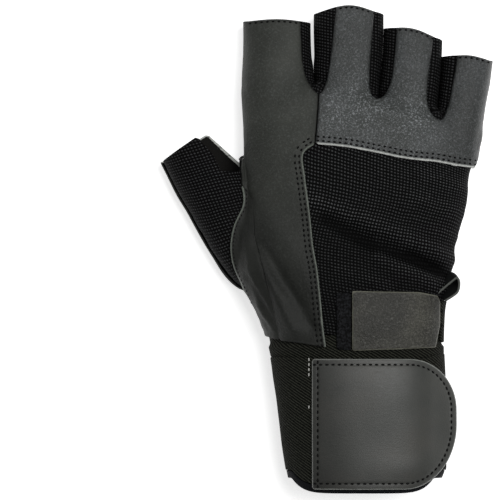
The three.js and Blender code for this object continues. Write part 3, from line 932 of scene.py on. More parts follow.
def past_mouths() -> np.ndarray:
    """The outline of everything past the fingers' mouths, stepping at the middle of the gaps.

    Returns:
        Points in mm.
    """
    edge = []
    for i, mouth in enumerate(MOUTHS):
        own = FINGERS[i][-1]
        first = (FINGERS[i - 1][-1].right + own.left) / 2 if i else -PAST_ALL
        last = (own.right + FINGERS[i + 1][-1].left) / 2 if i + 1 < len(FINGERS) else PAST_ALL
        edge += [plan([(first, mouth.left)]), mouth_line(i), plan([(last, mouth.right)])]
    return np.vstack([*edge, plan([(PAST_ALL, PAST_ALL), (-PAST_ALL, PAST_ALL)])])


def slot_outline(line: Plan, spread: float) -> np.ndarray:
    """The outline of a slot between two fingers, widened all round.

    Args:
        line: the slot in shares.
        spread: how much wider, in mm.

    Returns:
        Points in mm.
    """
    outline = soft(line, 41)
    turn = int(np.argmin(outline[:, 1]))
    side = np.sign(np.arange(len(outline)) - turn)
    outline[:, 0] += side * spread
    outline[turn, 1] -= spread
    return outline


class Side(Enum):
    """Which part of the form a region keeps, about the side seam."""

    BACK = "above the seam"
    PALM = "below the seam"
    BOTH = "all round"


@dataclass
class Region:
    """A region of the form seen from above, with the finish of its edges."""

    outline: np.ndarray
    side: Side = Side.BOTH
    holes: list[np.ndarray] = field(default_factory=list)
    raw: list[np.ndarray] = field(default_factory=list)
    rolled: list[np.ndarray] = field(default_factory=list)
    seams: list[np.ndarray] = field(default_factory=list)
    soft_seams: list[np.ndarray] = field(default_factory=list)
    drop_below_seam: float = 0.0

    def depth(self, points: np.ndarray) -> np.ndarray:
        """Distance of each point from the region's edge, above zero inside it.

        Args:
            points: places in mm.

        Returns:
            Distances in mm.
        """
        flat, up = points[:, :2], points[:, 2]
        found = signed_distance(self.outline, flat)
        for hole in self.holes:
            found = np.minimum(found, -signed_distance(hole, flat))
        for lines, gap in ((self.seams, SEAM_GAP), (self.soft_seams, CREASE_GAP)):
            for line in lines:
                found = np.minimum(found, distance_to(line, flat) - gap / 2)
        if self.side is not Side.BOTH:
            found = np.minimum(found, self.over_seam(up))
        return found

    def over_seam(self, up: np.ndarray) -> np.ndarray:
        """Distance from the side seam, above zero on the side that is kept.

        Args:
            up: heights in mm.

        Returns:
            Distances in mm.
        """
        if self.side is Side.BACK:
            return up - (SEAM_HEIGHT + SEAM_GAP / 2 - self.drop_below_seam)
        return SEAM_HEIGHT - SEAM_GAP / 2 - up

    def to_raw(self, points: np.ndarray) -> np.ndarray:
        """Distance of each point from the nearest raw edge."""
        return nearest_of(self.raw, points)

    def to_rolled(self, points: np.ndarray) -> np.ndarray:
        """Distance of each point from the nearest turned edge, the side seam among them.

        Args:
            points: places in mm.

        Returns:
            Distances in mm.
        """
        found = nearest_of(self.rolled + self.seams, points)
        if self.side is not Side.BOTH:
            found = np.minimum(found, np.abs(self.over_seam(points[:, 2])))
        return found


def nearest_of(lines: Iterable[np.ndarray], points: np.ndarray) -> np.ndarray:
    """Distance of each point from the nearest of some lines, seen from above.

    Args:
        lines: the lines, in mm.
        points: places in mm.

    Returns:
        Distances in mm.
    """
    found = np.full(len(points), FAR_OUT)
    for line in lines:
        found = np.minimum(found, distance_to(line, points[:, :2]))
    return found


@dataclass(frozen=True)
class Profile:
    """How a panel's skin runs out to its edges, in mm."""

    roll: float = 1.0
    crisp: float = 0.3
    groove: float = 0.22
    groove_width: float = 0.42
    crease: float = 0.45
    crease_width: float = 1.3
    rows: tuple[float, ...] = ()

    def drop(self, raw: np.ndarray, rolled: np.ndarray, creased_at: np.ndarray) -> np.ndarray:
        """How far the skin sinks at some distances from its edges, seams and soft seams.

        Args:
            raw: distances from raw edges.
            rolled: distances from turned edges.
            creased_at: distances from soft seams.

        Returns:
            Depths in mm.
        """
        inset = np.clip(self.roll - rolled, 0, self.roll)
        sunk = self.roll - np.sqrt(self.roll**2 - inset**2 * ROLL_FULLNESS)
        sunk += self.crisp * np.exp(-((raw / self.crisp) ** 2))
        sunk += self.crease * np.exp(-((creased_at / self.crease_width) ** 2))
        for row in self.rows:
            sunk += self.groove * np.exp(-(((raw - row) / self.groove_width) ** 2))
        return sunk


# Panels and stitches

def dressed(
    piece: bpy.types.Object, finish: bpy.types.Material, nodes: Sequence[str] = (),
) -> bpy.types.Object:
    """Shades a piece smooth, gives it its finish and tells the frame where it belongs.

    Args:
        piece: the piece.
        finish: its material.
        nodes: the nodes that it stands for.

    Returns:
        The same piece.
    """
    piece.data.shade_smooth()
    piece.data.materials.clear()
    piece.data.materials.append(finish)
    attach(piece, "root")
    if nodes:
        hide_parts(*nodes)
    LOG.info("%s: %d faces", piece.name, len(piece.data.polygons))
    return piece


def thickened(piece: bpy.types.Object, wall: float, offset: float) -> bpy.types.SolidifyModifier:
    """Gives a sheet its wall in mm, to its inner side (-1) or to both sides (0).

    Args:
        piece: the sheet.
        wall: its thickness.
        offset: which side it grows to.

    Returns:
        The modifier that does it.
    """
    shell = piece.modifiers.new("wall", "SOLIDIFY")
    shell.thickness = wall * MM
    shell.offset = offset
    return shell


@dataclass(frozen=True)
class StitchRow:
    """A row of lockstitches beside a line."""

    line: np.ndarray
    inset: float
    pitch: float = 2.4
    length: float = 1.45
    thickness: float = 0.95
    half_step: float = 0.6

    def places(self) -> list[tuple[np.ndarray, np.ndarray]]:
        """The middle and the heading of each stitch, seen from above.

        Returns:
            Two numbers for each middle, and two for each heading.
        """
        run = np.linalg.norm(np.diff(self.line, axis=0), axis=1)
        line = self.line[np.concatenate([[True], run > 1e-6])]
        keys = lengths_along(line)
        count = max(2, int(keys[-1] / self.pitch))
        at = (np.arange(count) + 0.5) * keys[-1] / count

        def read(where: np.ndarray) -> np.ndarray:
            """Points at some lengths along the line."""
            return np.column_stack([np.interp(where, keys, line[:, k]) for k in (0, 1)])

        ahead = read(at + self.half_step) - read(at - self.half_step)
        ahead /= np.linalg.norm(ahead, axis=1)[:, None]
        side = np.column_stack([-ahead[:, 1], ahead[:, 0]])
        return list(zip(read(at) + side * self.inset, ahead))


@dataclass
class Panel:
    """A panel of leather or cloth, cut from a skin of the form and given its wall."""

    name: str
    region: Region
    slot: str = "soft_leather"
    wall: float = LEATHER_WALL
    profile: Profile = Profile()
    cuts: tuple[float, ...] = (0.35, 0.8, 1.3, 2.0)
    creases: Sequence[Crease] = ()
    swells: Sequence[Swell] = ()
    relief: Amount = 0.0
    shade: Amount = 0.0
    fades: Sequence[Fade] = ()
    wear_and_glint: Amount = 0.0
    lining: Optional[bpy.types.Material] = None
    surface: Optional[BVHTree] = None

    def build(self, skin: bmesh.types.BMesh, finish: bpy.types.Material) -> "Panel":
        """Cuts the panel out, shapes its edges and gives it its wall.

        Args:
            skin: the form's skin at the panel's level, which is used up.
            finish: the panel's material.

        Returns:
            The panel itself, ready to be sewn through.
        """
        inside = np.clip(self.region.depth(coordinates(skin)), -DEPTH_KEPT, DEPTH_KEPT)
        depth = store(skin, "depth", inside)
        away = [vert for vert in skin.verts if vert[depth] < -CUT_MARGIN]
        bmesh.ops.delete(skin, geom=away, context="VERTS")
        cut_along(skin, depth, 0.0, drop=True)
        for level in self.cuts:
            cut_along(skin, depth, level)
        skin.verts.index_update()
        skin.normal_update()
        points = coordinates(skin)
        normals = np.array([vert.normal[:] for vert in skin.verts])
        raw, rolled = self.region.to_raw(points), self.region.to_rolled(points)
        sunk = self.profile.drop(raw, rolled, nearest_of(self.region.soft_seams, points))
        lift = creased(points, self.creases) + swelled(points, self.swells)
        sunk -= lift + amount_at(points, self.relief)
        move_to(skin, points - normals * sunk[:, None])
        skin.verts.layers.float.remove(depth)
        # The shade layer darkens the colour, painted shade among it; the next layer pales the grain's tops
        # where worn and as painted glints
        shade = np.clip(amount_at(points, self.shade) + faded(points, self.fades), 0, DEEPEST_SHADE)
        store(skin, "raw_edge", np.minimum(raw, EDGE_KEPT))
        store(skin, "seam_edge", np.minimum(rolled, EDGE_KEPT))
        store(skin, "shade", shade)
        store(skin, "wear_and_glint", amount_at(points, self.wear_and_glint))
        self.surface = BVHTree.FromBMesh(skin)
        piece = object_of(skin, f"{self.name}_panel")
        shell = thickened(piece, self.wall, -1)
        dressed(piece, finish, [self.name])
        if self.lining is not None:
            piece.data.materials.append(self.lining)
            shell.material_offset = 1
        return self

    def sew(
        self, name: str, rows: Iterable[StitchRow], thread: bpy.types.Material, slot: str = "",
    ) -> None:
        """Lays rows of stitches on the built panel as one piece.

        Args:
            name: the piece's name.
            rows: the rows.
            thread: what they are sewn with.
            slot: the material slot meant for the thread, if it isn't the panel's; not used.
        """
        bm = bmesh.new()
        side = -1 if self.region.side is Side.PALM else 1
        for row in rows:
            for middle, ahead in row.places():
                start = Vector(in_frame(np.array((*middle, 0.0))))
                start.z = side * CAST_FROM
                hit, normal, _, _ = self.surface.ray_cast(start, Vector((0, 0, -side)))
                if hit is None or abs(normal.z) < LEAST_LEAN:
                    continue
                along = Vector((*ahead, 0))
                along = (along - along.dot(normal) * normal).normalized()
                turn = Matrix((along, normal.cross(along), normal)).transposed().to_4x4()
                half = Vector((row.length, row.thickness, row.thickness)) / 2 * MM
                bmesh.ops.create_uvsphere(
                    bm, u_segments=6, v_segments=4, radius=1,
                    matrix=Matrix.Translation(hit) @ turn @ Matrix.Diagonal((*half, 1)),
                )
        dressed(object_of(bm, name), thread)


# Finishes

def linear(code: str) -> tuple[float, float, float, float]:
    """The linear colour of an sRGB hex code.

    Args:
        code: the code, with its hash sign.

    Returns:
        Red, green, blue and full cover.
    """
    def channel(i: int) -> float:
        """One linear channel, from the place of its two digits."""
        value = int(code[i:i + 2], 16) / 255
        return value / 12.92 if value <= 0.04045 else ((value + 0.055) / 1.055) ** 2.4

    return channel(1), channel(3), channel(5), 1.0


def plug(node: bpy.types.Node, inputs: dict) -> None:
    """Links sockets to a node's inputs, by name or number, or sets their values.

    Args:
        node: the node.
        inputs: a socket or a value for each input.
    """
    for key, value in inputs.items():
        if isinstance(value, bpy.types.NodeSocket):
            node.id_data.links.new(value, node.inputs[key])
        else:
            node.inputs[key].default_value = value


def add_node(
    tree: bpy.types.NodeTree, kind: str, *values: object, links: Optional[dict] = None,
    stops: Sequence[tuple[float, str]] = (), out: int | str = 0, **settings: object,
) -> bpy.types.NodeSocket:
    """Adds a node to a tree.

    Args:
        tree: the material's tree.
        kind: the node's type.
        values: for its first inputs in turn, a socket to link or a value to set.
        links: the same for other inputs, by name or number.
        stops: places and hex codes along a colour ramp.
        out: the output that is wanted, by name or number.
        settings: the node's own properties.

    Returns:
        The wanted output.
    """
    node = tree.nodes.new(f"ShaderNode{kind}")
    for name, value in settings.items():
        setattr(node, name, value)
    plug(node, {**dict(enumerate(values)), **(links or {})})
    for i, (place, code) in enumerate(stops):
        ramp = node.color_ramp.elements
        stop = ramp[i] if i < 2 else ramp.new(place)
        stop.position, stop.color = place, linear(code)
    return node.outputs[out]


def waves(add: Callable, place: object, pitch: float, depth: float) -> bpy.types.NodeSocket:
    """Even waves across a place in mm, a pitch apart, that dip by twice a depth below 1.

    Args:
        add: adds a node to the finish's tree and gives one of its outputs.
        place: the place.
        pitch: their pitch in mm.
        depth: half of their dip.

    Returns:
        The waves' height, at most 1.
    """
    turn = add("Math", place, math.tau / pitch, operation="MULTIPLY")
    return add("Math", add("Math", turn, operation="SINE"), depth, 1 - depth, operation="MULTIPLY_ADD")


@dataclass(frozen=True)
class Finish:
    """A finish, named for the real material."""

    name: str

    def inputs(self, add: Callable) -> dict:
        """What goes into the shader, from nodes that are added to the finish's tree."""
        raise NotImplementedError

    def material(self) -> bpy.types.Material:
        """The finish as a material.

        Returns:
            The material, new.
        """
        material = bpy.data.materials.new(self.name)
        material.use_nodes = True
        tree = material.node_tree
        plug(tree.nodes["Principled BSDF"], self.inputs(partial(add_node, tree)))
        return material


@dataclass(frozen=True)
class LeatherFinish(Finish):
    """Drum-dyed goatskin: pebbles and hair creases of 0.5 to 1 mm under a dull wax.

    Pebble tops are painted pale and cool where the grain is worn and as glints of light, and a cut edge shows
    the paler core.
    """

    low: str
    middle: str
    high: str
    pebble: float = 0.9
    cloud: float = 22.0
    grain_bump: float = 0.35
    roughness: float = 0.5
    sheen: float = 0.35
    speckle: float = 0.35
    edge: str = "#a4a6a1"
    edge_reach: float = 0.45
    # Colour of the pebble tops, painted pale and cool where worn and as glints of light
    rub_and_glint: str = "#8f9395"
    # Colour of the painted shade beside seams and turned edges
    seam_shade_colour: str = "#0b0c0a"
    brushing: Optional[tuple[float, float, float]] = None

    def inputs(self, add: Callable) -> dict:
        """Clouded dye with pebble tops painted pale where worn and as glints, darkening from the shade layer,
        painted shade beside seams and turned edges, and pale raw edges.

        Args:
            add: adds a node to the finish's tree and gives one of its outputs.

        Returns:
            A socket or a value for each of the shader's inputs.
        """
        place = add("TexCoord", out="Object")
        brushed = add("Mapping", place, links={3: self.brushing}) if self.brushing else place
        grain = 1 / MM / self.pebble
        pebbles = add("TexVoronoi", place, links={"Scale": grain}, feature="SMOOTH_F1", out="Distance")
        hairs = {"Scale": grain, "Detail": 4.0, "Roughness": 0.65, "Distortion": 0.6}
        creases = add("TexNoise", brushed, links=hairs, out="Fac")
        clouds = add("TexNoise", place, links={"Scale": 1 / MM / self.cloud, "Detail": 3.0}, out="Fac")
        tone = add("Math", creases, self.speckle * 2, -self.speckle, operation="MULTIPLY_ADD")
        tone = add("Math", tone, clouds, operation="ADD")
        colour = add("ValToRGB", tone, stops=[(0.25, self.low), (0.5, self.middle), (0.8, self.high)])
        # Pebble tops paled where worn and as painted glints, as far as the mesh's layer asks
        wear_and_glint = add("Attribute", attribute_name="wear_and_glint", out="Fac")
        wear_and_glint = add("Math", add("MapRange", creases, 0.52, 0.66, clamp=True), wear_and_glint, operation="MULTIPLY")
        shade = add("Attribute", attribute_name="shade", out="Fac")
        # Painted shade beside seams and turned edges, strongest at the edge and gone within a few mm
        seam = add("Attribute", attribute_name="seam_edge", out="Fac")
        seam = add("Math", seam, -1.3, operation="MULTIPLY")
        seam = add("Math", add("Math", 2.0, seam, operation="POWER"), 0.75, operation="MULTIPLY")
        raw = add("Attribute", attribute_name="raw_edge", out="Fac")
        raw = add("Math", raw, self.edge_reach, operation="DIVIDE")
        ragged = add("Math", creases, 1.6, -0.8, operation="MULTIPLY_ADD")
        raw = add("MapRange", add("Math", raw, ragged, operation="ADD"), 1.3, 0.5, clamp=True)
        # Pale pebble tops where worn and as painted glints, the shade layer, painted shade by the seams, pale
        # raw edges
        coats = ((wear_and_glint, self.rub_and_glint), (shade, "#000000"), (seam, self.seam_shade_colour), (raw, self.edge))
        for share, code in coats:
            colour = add("Mix", links={0: share, 6: colour, 7: linear(code)}, data_type="RGBA", out=2)
        relief = add("Math", add("Math", pebbles, -0.7, operation="MULTIPLY"), creases, operation="ADD")
        bump = {"Strength": self.grain_bump, "Distance": 0.4 * MM, "Height": relief}
        return {
            "Base Color": colour,
            "Roughness": add("Math", creases, 0.3, self.roughness - 0.15, operation="MULTIPLY_ADD"),
            "Normal": add("Bump", links=bump),
            "Specular IOR Level": self.sheen,
        }


@dataclass(frozen=True)
class MeshKnitFinish(Finish):
    """Warp-knitted stretch mesh: rows of dark loops about 1.4 mm apart, with black painted shadow in the gaps
    between.
    """

    name: str = "polyester stretch mesh"
    row_pitch: float = 1.38
    column_pitch: float = 1.46
    tilt: float = 0.2
    sway_breadth: float = 9.0
    sway: float = 1.2
    hair: float = 0.9
    # Black painted shadow in the holes between the loops
    gap: str = "#010101"
    loop: str = "#5c5d5e"

    def inputs(self, add: Callable) -> dict:
        """Swaying rows of loops on the cloth's own map, deeper where it is shaded.

        Args:
            add: adds a node to the finish's tree and gives one of its outputs.

        Returns:
            A socket or a value for each of the shader's inputs.
        """
        across, along, _ = add("SeparateXYZ", add("UVMap", uv_map="UVMap")).node.outputs
        place = add("TexCoord", out="Object")
        sway = add("TexNoise", place, links={"Scale": 1 / (self.sway_breadth * MM), "Detail": 2.0}, out="Fac")
        along = add("Math", across, -self.tilt, along, operation="MULTIPLY_ADD")
        along = add("Math", sway, self.sway, along, operation="MULTIPLY_ADD")
        rows, columns = waves(add, along, self.row_pitch, 0.5), waves(add, across, self.column_pitch, 0.38)
        height = add("Math", rows, columns, operation="MULTIPLY")
        fuzz = add("TexNoise", place, links={"Scale": 1 / (self.hair * MM), "Detail": 3.0}, out="Fac")
        fuzz = add("Math", fuzz, 1.3, 0.35, operation="MULTIPLY_ADD")
        tone = add("Math", height, fuzz, operation="MULTIPLY")
        colour = add("ValToRGB", tone, stops=[(0.3, self.gap), (1.0, self.loop)])
        shade = {0: add("Attribute", attribute_name="shade", out="Fac"), 6: colour, 7: linear("#000000")}
        return {
            "Base Color": add("Mix", links=shade, data_type="RGBA", out=2),
            "Roughness": 0.8,
            "Normal": add("Bump", links={"Strength": 0.8, "Distance": 0.35 * MM, "Height": height}),
            "Specular IOR Level": 0.08,
        }


@dataclass(frozen=True)
class TwillFinish(Finish):
    """Woven elastic: twill ribs about 1.2 mm apart that run slantwise over a dark ground."""

    name: str = "cotton twill elastic"
    pitch: float = 1.15
    slant: float = -0.55
    hair: float = 1.1
    ground: str = "#060705"
    rib: str = "#33342d"

    def inputs(self, add: Callable) -> dict:
        """Slanting ribs on the cloth's own map, with turns along each of them.

        Args:
            add: adds a node to the finish's tree and gives one of its outputs.

        Returns:
            A socket or a value for each of the shader's inputs.
        """
        across, along, _ = add("SeparateXYZ", add("UVMap", uv_map="UVMap")).node.outputs
        place = add("TexCoord", out="Object")
        fuzz = add("TexNoise", place, links={"Scale": 1 / (self.hair * MM), "Detail": 3.0}, out="Fac")
        run, rise = math.cos(self.slant), math.sin(self.slant)
        over = add("Math", along, run, operation="MULTIPLY")
        over = add("Math", across, rise, over, operation="MULTIPLY_ADD")
        down = add("Math", along, -rise, operation="MULTIPLY")
        down = add("Math", across, run, down, operation="MULTIPLY_ADD")
        over = add("Math", fuzz, 0.5, over, operation="MULTIPLY_ADD")
        ribs, turns = waves(add, over, self.pitch, 0.5), waves(add, down, self.pitch * 0.8, 0.15)
        height = add("Math", ribs, turns, operation="MULTIPLY")
        fuzz = add("Math", fuzz, 1.2, 0.4, operation="MULTIPLY_ADD")
        tone = add("Math", height, fuzz, operation="MULTIPLY")
        return {
            "Base Color": add("ValToRGB", tone, stops=[(0.2, self.ground), (0.95, self.rib)]),
            "Roughness": 0.9,
            "Normal": add("Bump", links={"Strength": 0.9, "Distance": 0.5 * MM, "Height": height}),
            "Specular IOR Level": 0.08,
        }


@dataclass(frozen=True)
class PlainFinish(Finish):
    """Thread, tape or ribbon: one dyed colour with a little fuzz, paler where it is worn."""

    colour: str
    roughness: float = 0.8
    fuzz: float = 0.5
    grain: float = 0.6
    sharpness: float = 1.0
    worn: str = "#5c5e5a"

    def inputs(self, add: Callable) -> dict:
        """The dye, with a nap that darkens and lifts it.

        Args:
            add: adds a node to the finish's tree and gives one of its outputs.

        Returns:
            A socket or a value for each of the shader's inputs.
        """
        place, half = add("TexCoord", out="Object"), 0.5 / self.sharpness
        nap = add("TexNoise", place, links={"Scale": 1 / (self.grain * MM), "Detail": 4.0}, out="Fac")
        nap = add("MapRange", nap, 0.5 - half, 0.5 + half, clamp=True)
        colour, dark = linear(self.colour), add("Math", nap, self.fuzz, operation="MULTIPLY")
        wear_and_glint = add("Attribute", attribute_name="wear_and_glint", out="Fac")
        for share, code in ((dark, "#000000"), (wear_and_glint, self.worn)):
            colour = add("Mix", links={0: share, 6: colour, 7: linear(code)}, data_type="RGBA", out=2)
        return {
            "Base Color": colour,
            "Roughness": self.roughness,
            "Normal": add("Bump", links={"Strength": self.fuzz, "Distance": 0.3 * MM, "Height": nap}),
            "Specular IOR Level": 0.12,
        }


@dataclass(frozen=True)
class GlowingPaper(Finish):
    """White paper that a light table shines through evenly."""

    name: str = "white paper on a light table"

    def inputs(self, add: Callable) -> dict:
        """Plain white with a glow of its own.

        Args:
            add: adds a node to the finish's tree and gives one of its outputs.

        Returns:
            A socket or a value for each of the shader's inputs.
        """
        return {
            "Base Color": linear("#fafafa"),
            "Roughness": 0.9,
            "Emission Color": linear("#ffffff"),
            "Emission Strength": 0.6,
        }


@dataclass(frozen=True)
class Finishes:
    """Every finish of the glove, made once."""

    strip: bpy.types.Material
    knuckle: bpy.types.Material
    palm: bpy.types.Material
    patch: bpy.types.Material
    tab: bpy.types.Material
    flesh: bpy.types.Material
    knit: bpy.types.Material
    twill: bpy.types.Material
    binding: bpy.types.Material
    hook: bpy.types.Material
    ribbon: bpy.types.Material
    thread: bpy.types.Material
    lint: bpy.types.Material

    @classmethod
    def make(cls) -> "Finishes":
        """The finishes with the colours of this glove.

        Returns:
            The finishes.
        """
        finishes = {
            "strip": LeatherFinish(
                "goatskin, fine grain", "#2c2e2a", "#363834", "#41433e",
                grain_bump=0.5, sheen=0.2, roughness=0.58, edge="#61665f", edge_reach=0.6,
            ),
            "knuckle": LeatherFinish(
                "goatskin, pebbled grain", "#2a2d2b", "#363938", "#484b4c", pebble=0.75,
                grain_bump=0.75, speckle=0.7, roughness=0.42, edge="#b4b6b2", edge_reach=0.8,
            ),
            "palm": LeatherFinish("goatskin, palm", "#24261f", "#2e302b", "#3a3b35"),
            "patch": LeatherFinish(
                "smooth split leather", "#333532", "#3b3c39", "#43423e", pebble=0.6, grain_bump=0.12,
                speckle=0.25, roughness=0.46, edge="#6f716d", edge_reach=0.5, brushing=(0.15, 1.6, 1.0),
            ),
            "tab": LeatherFinish(
                "goatskin, worn", "#16160f", "#26251f", "#424138",
                pebble=0.75, speckle=0.8, grain_bump=0.7, edge="#5f5f54",
            ),
            "flesh": PlainFinish("suede of the leather's flesh side", "#171614", fuzz=0.6),
            "knit": MeshKnitFinish(),
            "twill": TwillFinish(),
            "binding": PlainFinish("cotton hem binding", "#0b0c11"),
            "hook": PlainFinish("nylon hook tape", "#1d1e20", fuzz=1.0, grain=0.9, sharpness=4.0),
            "ribbon": PlainFinish("woven nylon ribbon", "#141515"),
            "thread": PlainFinish("bonded polyester thread", "#040404", roughness=0.7),
            "lint": PlainFinish("frayed thread ends", "#b9b9b4", fuzz=0.3),
        }
        return cls(**{name: finish.material() for name, finish in finishes.items()})


# Sub-assemblies

def shifted(line: np.ndarray, x: float, y: float) -> np.ndarray:
    """A line moved by some mm."""
    return line + np.array((x, y))


def spots(points: np.ndarray, places: Iterable[tuple[float, float, float]]) -> np.ndarray:
    """How near points lie to some round spots, from 0 to 1.

    Args:
        points: places in mm.
        places: across and along as shares, and the spot's breadth in mm.

    Returns:
        The share at each point.
    """
    found = np.zeros(len(points))
    for across, along, breadth in places:
        middle = plan([(across, along)])[0]
        far = np.linalg.norm(points[:, :2] - middle, axis=1) / breadth
        found = np.maximum(found, np.exp(-far * far))
    return found


def openings() -> list[np.ndarray]:
    """Everything past the mouths, and the slots between the fingers."""
    return [past_mouths()] + [slot_outline(slot, 0) for slot in SLOTS.values()]


def turned_edges() -> list[np.ndarray]:
    """The slots' edges and the mouths, which are all turned in."""
    return openings()[1:] + [mouth_line(i) for i in range(len(MOUTHS))]


@dataclass
class BackLeather:
    """The index strip, the thumb's gusset and the knuckle panel."""

    row_insets: tuple[float, float] = (1.6, 3.4)
    mouth_inset: float = 1.15
    strip_dye: float = 0.02
    strip_wear_and_glint: float = 0.07
    # The strip darkens towards the wrist, and painted shade darkens it towards its outer side
    strip_fades: tuple[Fade, ...] = (Fade(1, 105, 12, 0.66), Fade(0, -34, -52, 0.2))
    strip_swells: tuple[Swell, ...] = (Swell(17, 0.5, 3), Swell(4.5, 0.14, 9))
    strip_creases: tuple[Crease, ...] = (
        Crease([(-0.419, 0.396), (-0.3, 0.196), (-0.216, 0.076)], 2.4, -1.2),
        Crease([(-0.44, 0.332), (-0.36, 0.19), (-0.3, 0.064)], 2.4, 0.9),
        Crease([(-0.33, 0.2), (-0.25, 0.12), (-0.19, 0.09)], 2.0, 0.5),
        Crease([(-0.4, 0.5), (-0.3, 0.4), (-0.22, 0.36)], 4.0, 0.4),
    )
    gusset_creases: tuple[Crease, ...] = (
        Crease([(-0.5, 0.46), (-0.47, 0.3), (-0.42, 0.12)], 1.8, 0.6),
        Crease([(-0.46, 0.24), (-0.38, 0.1)], 0.9, -0.35),
        Crease([(-0.48, 0.3), (-0.4, 0.16)], 0.9, 0.3),
        Crease([(-0.44, 0.16), (-0.37, 0.05)], 0.8, 0.3),
    )
    # The gusset is the strip's leather, darkened through the shade layer
    gusset_darkening: float = 0.66
    gusset_swells: tuple[Swell, ...] = (Swell(4, 0.3, 5),)
    # Painted shade over the knuckle panel, left off at its painted highlights
    knuckle_painted_shade: float = 0.22
    # The knuckle panel also darkens towards the little finger
    knuckle_fades: tuple[Fade, ...] = (Fade(0, 14, 46, 0.16),)
    # Pale grain tops everywhere where worn, and more at the knuckles as painted glints of their highlights
    knuckle_wear_and_glint: tuple[float, float] = (0.28, 0.5)
    knuckle_swells: tuple[Swell, ...] = (Swell(14, 0.45, 21), Swell(4, 0.12, 2))
    # Places and breadths of the painted highlights over the knuckles
    knuckle_highlight_spots: tuple[tuple[float, float, float], ...] = (
        (0.04, 0.95, 15), (0.22, 0.9, 13), (-0.1, 0.93, 10),
    )

    def index_strip(self, finishes: Finishes) -> Panel:
        """The strip from the index finger down to the wrist, darker low down, with painted shade towards its
        outer side.

        Args:
            finishes: the glove's finishes.

        Returns:
            The panel, not built yet.
        """
        seam, edge, gusset = plan(KNUCKLE_SEAM), soft(STRIP_EDGE), soft(GUSSET_SEAM)
        outline = np.vstack([seam, edge, plan(STRIP_FOOT), gusset[::-1], plan(INDEX_OUTER)])
        return Panel(
            "index_side_leather",
            Region(outline, Side.BACK, openings(), [edge], turned_edges(), [seam], [gusset]),
            profile=Profile(rows=self.row_insets), creases=self.strip_creases, swells=self.strip_swells,
            shade=self.strip_dye, fades=self.strip_fades, wear_and_glint=self.strip_wear_and_glint, lining=finishes.flesh,
        )

    def gusset(self, finishes: Finishes) -> Panel:
        """The small panel between the strip and the thumb's knit.

        Args:
            finishes: the glove's finishes.

        Returns:
            The panel, not built yet.
        """
        seam, side = soft(GUSSET_SEAM), soft(STRIP_SIDE)
        outline = np.vstack([seam, plan(GUSSET_FOOT), side])
        return Panel(
            "thumb_gusset", Region(outline, Side.BACK, raw=[side], soft_seams=[seam]),
            profile=Profile(roll=0.8), creases=self.gusset_creases, swells=self.gusset_swells,
            shade=self.gusset_darkening, lining=finishes.flesh,
        )

    def knuckles(self, finishes: Finishes) -> Panel:
        """The panel over the knuckles and three fingers, with painted highlights over the knuckles: less
        painted shade and paler, cooler grain tops there.

        Args:
            finishes: the glove's finishes.

        Returns:
            The panel, not built yet.
        """
        seam, hem = plan(KNUCKLE_SEAM), soft(KNUCKLE_HEM)
        outline = np.vstack([seam, hem, plan([(0.8, 0.7), (0.8, PAST_ALL)])])
        least, rub_and_glint = self.knuckle_wear_and_glint
        return Panel(
            "knuckle_leather", Region(outline, Side.BACK, openings(), [hem], turned_edges(), [seam]),
            profile=Profile(rows=self.row_insets), swells=self.knuckle_swells,
            # Painted shade away from the knuckles; pale grain tops where worn, with painted glints at the
            # knuckles
            shade=lambda points: self.knuckle_painted_shade * (1 - spots(points, self.knuckle_highlight_spots)),
            fades=self.knuckle_fades, lining=finishes.flesh,
            wear_and_glint=lambda points: least + rub_and_glint * spots(points, self.knuckle_highlight_spots),
        )

    def build(self, form: GloveForm, finishes: Finishes) -> None:
        """Builds the panels and sews their rows.

        Args:
            form: the glove's form.
            finishes: the glove's finishes.
        """
        strip = self.index_strip(finishes).build(form.whole(LEATHER_LEVEL), finishes.strip)
        gusset = self.gusset(finishes).build(form.whole(LEATHER_LEVEL), finishes.strip)
        knuckles = self.knuckles(finishes).build(form.whole(LEATHER_LEVEL), finishes.knuckle)
        edge, hem, side = soft(STRIP_EDGE, 120), soft(KNUCKLE_HEM, 120), soft(STRIP_SIDE, 90)
        mouths = [StitchRow(mouth_line(i), -self.mouth_inset) for i in range(len(MOUTHS))]
        rows = [StitchRow(edge, -inset, pitch=2.3, length=1.5) for inset in self.row_insets]
        strip.sew("index_side_stitches", rows + mouths[:1], finishes.thread)
        rows = [StitchRow(hem, inset) for inset in self.row_insets]
        knuckles.sew("knuckle_stitches", rows + mouths[1:], finishes.thread)
        rows = [StitchRow(side, -1.2, pitch=1.8, length=1.2, thickness=0.5)]
        gusset.sew("gusset_stitches", rows, finishes.thread)


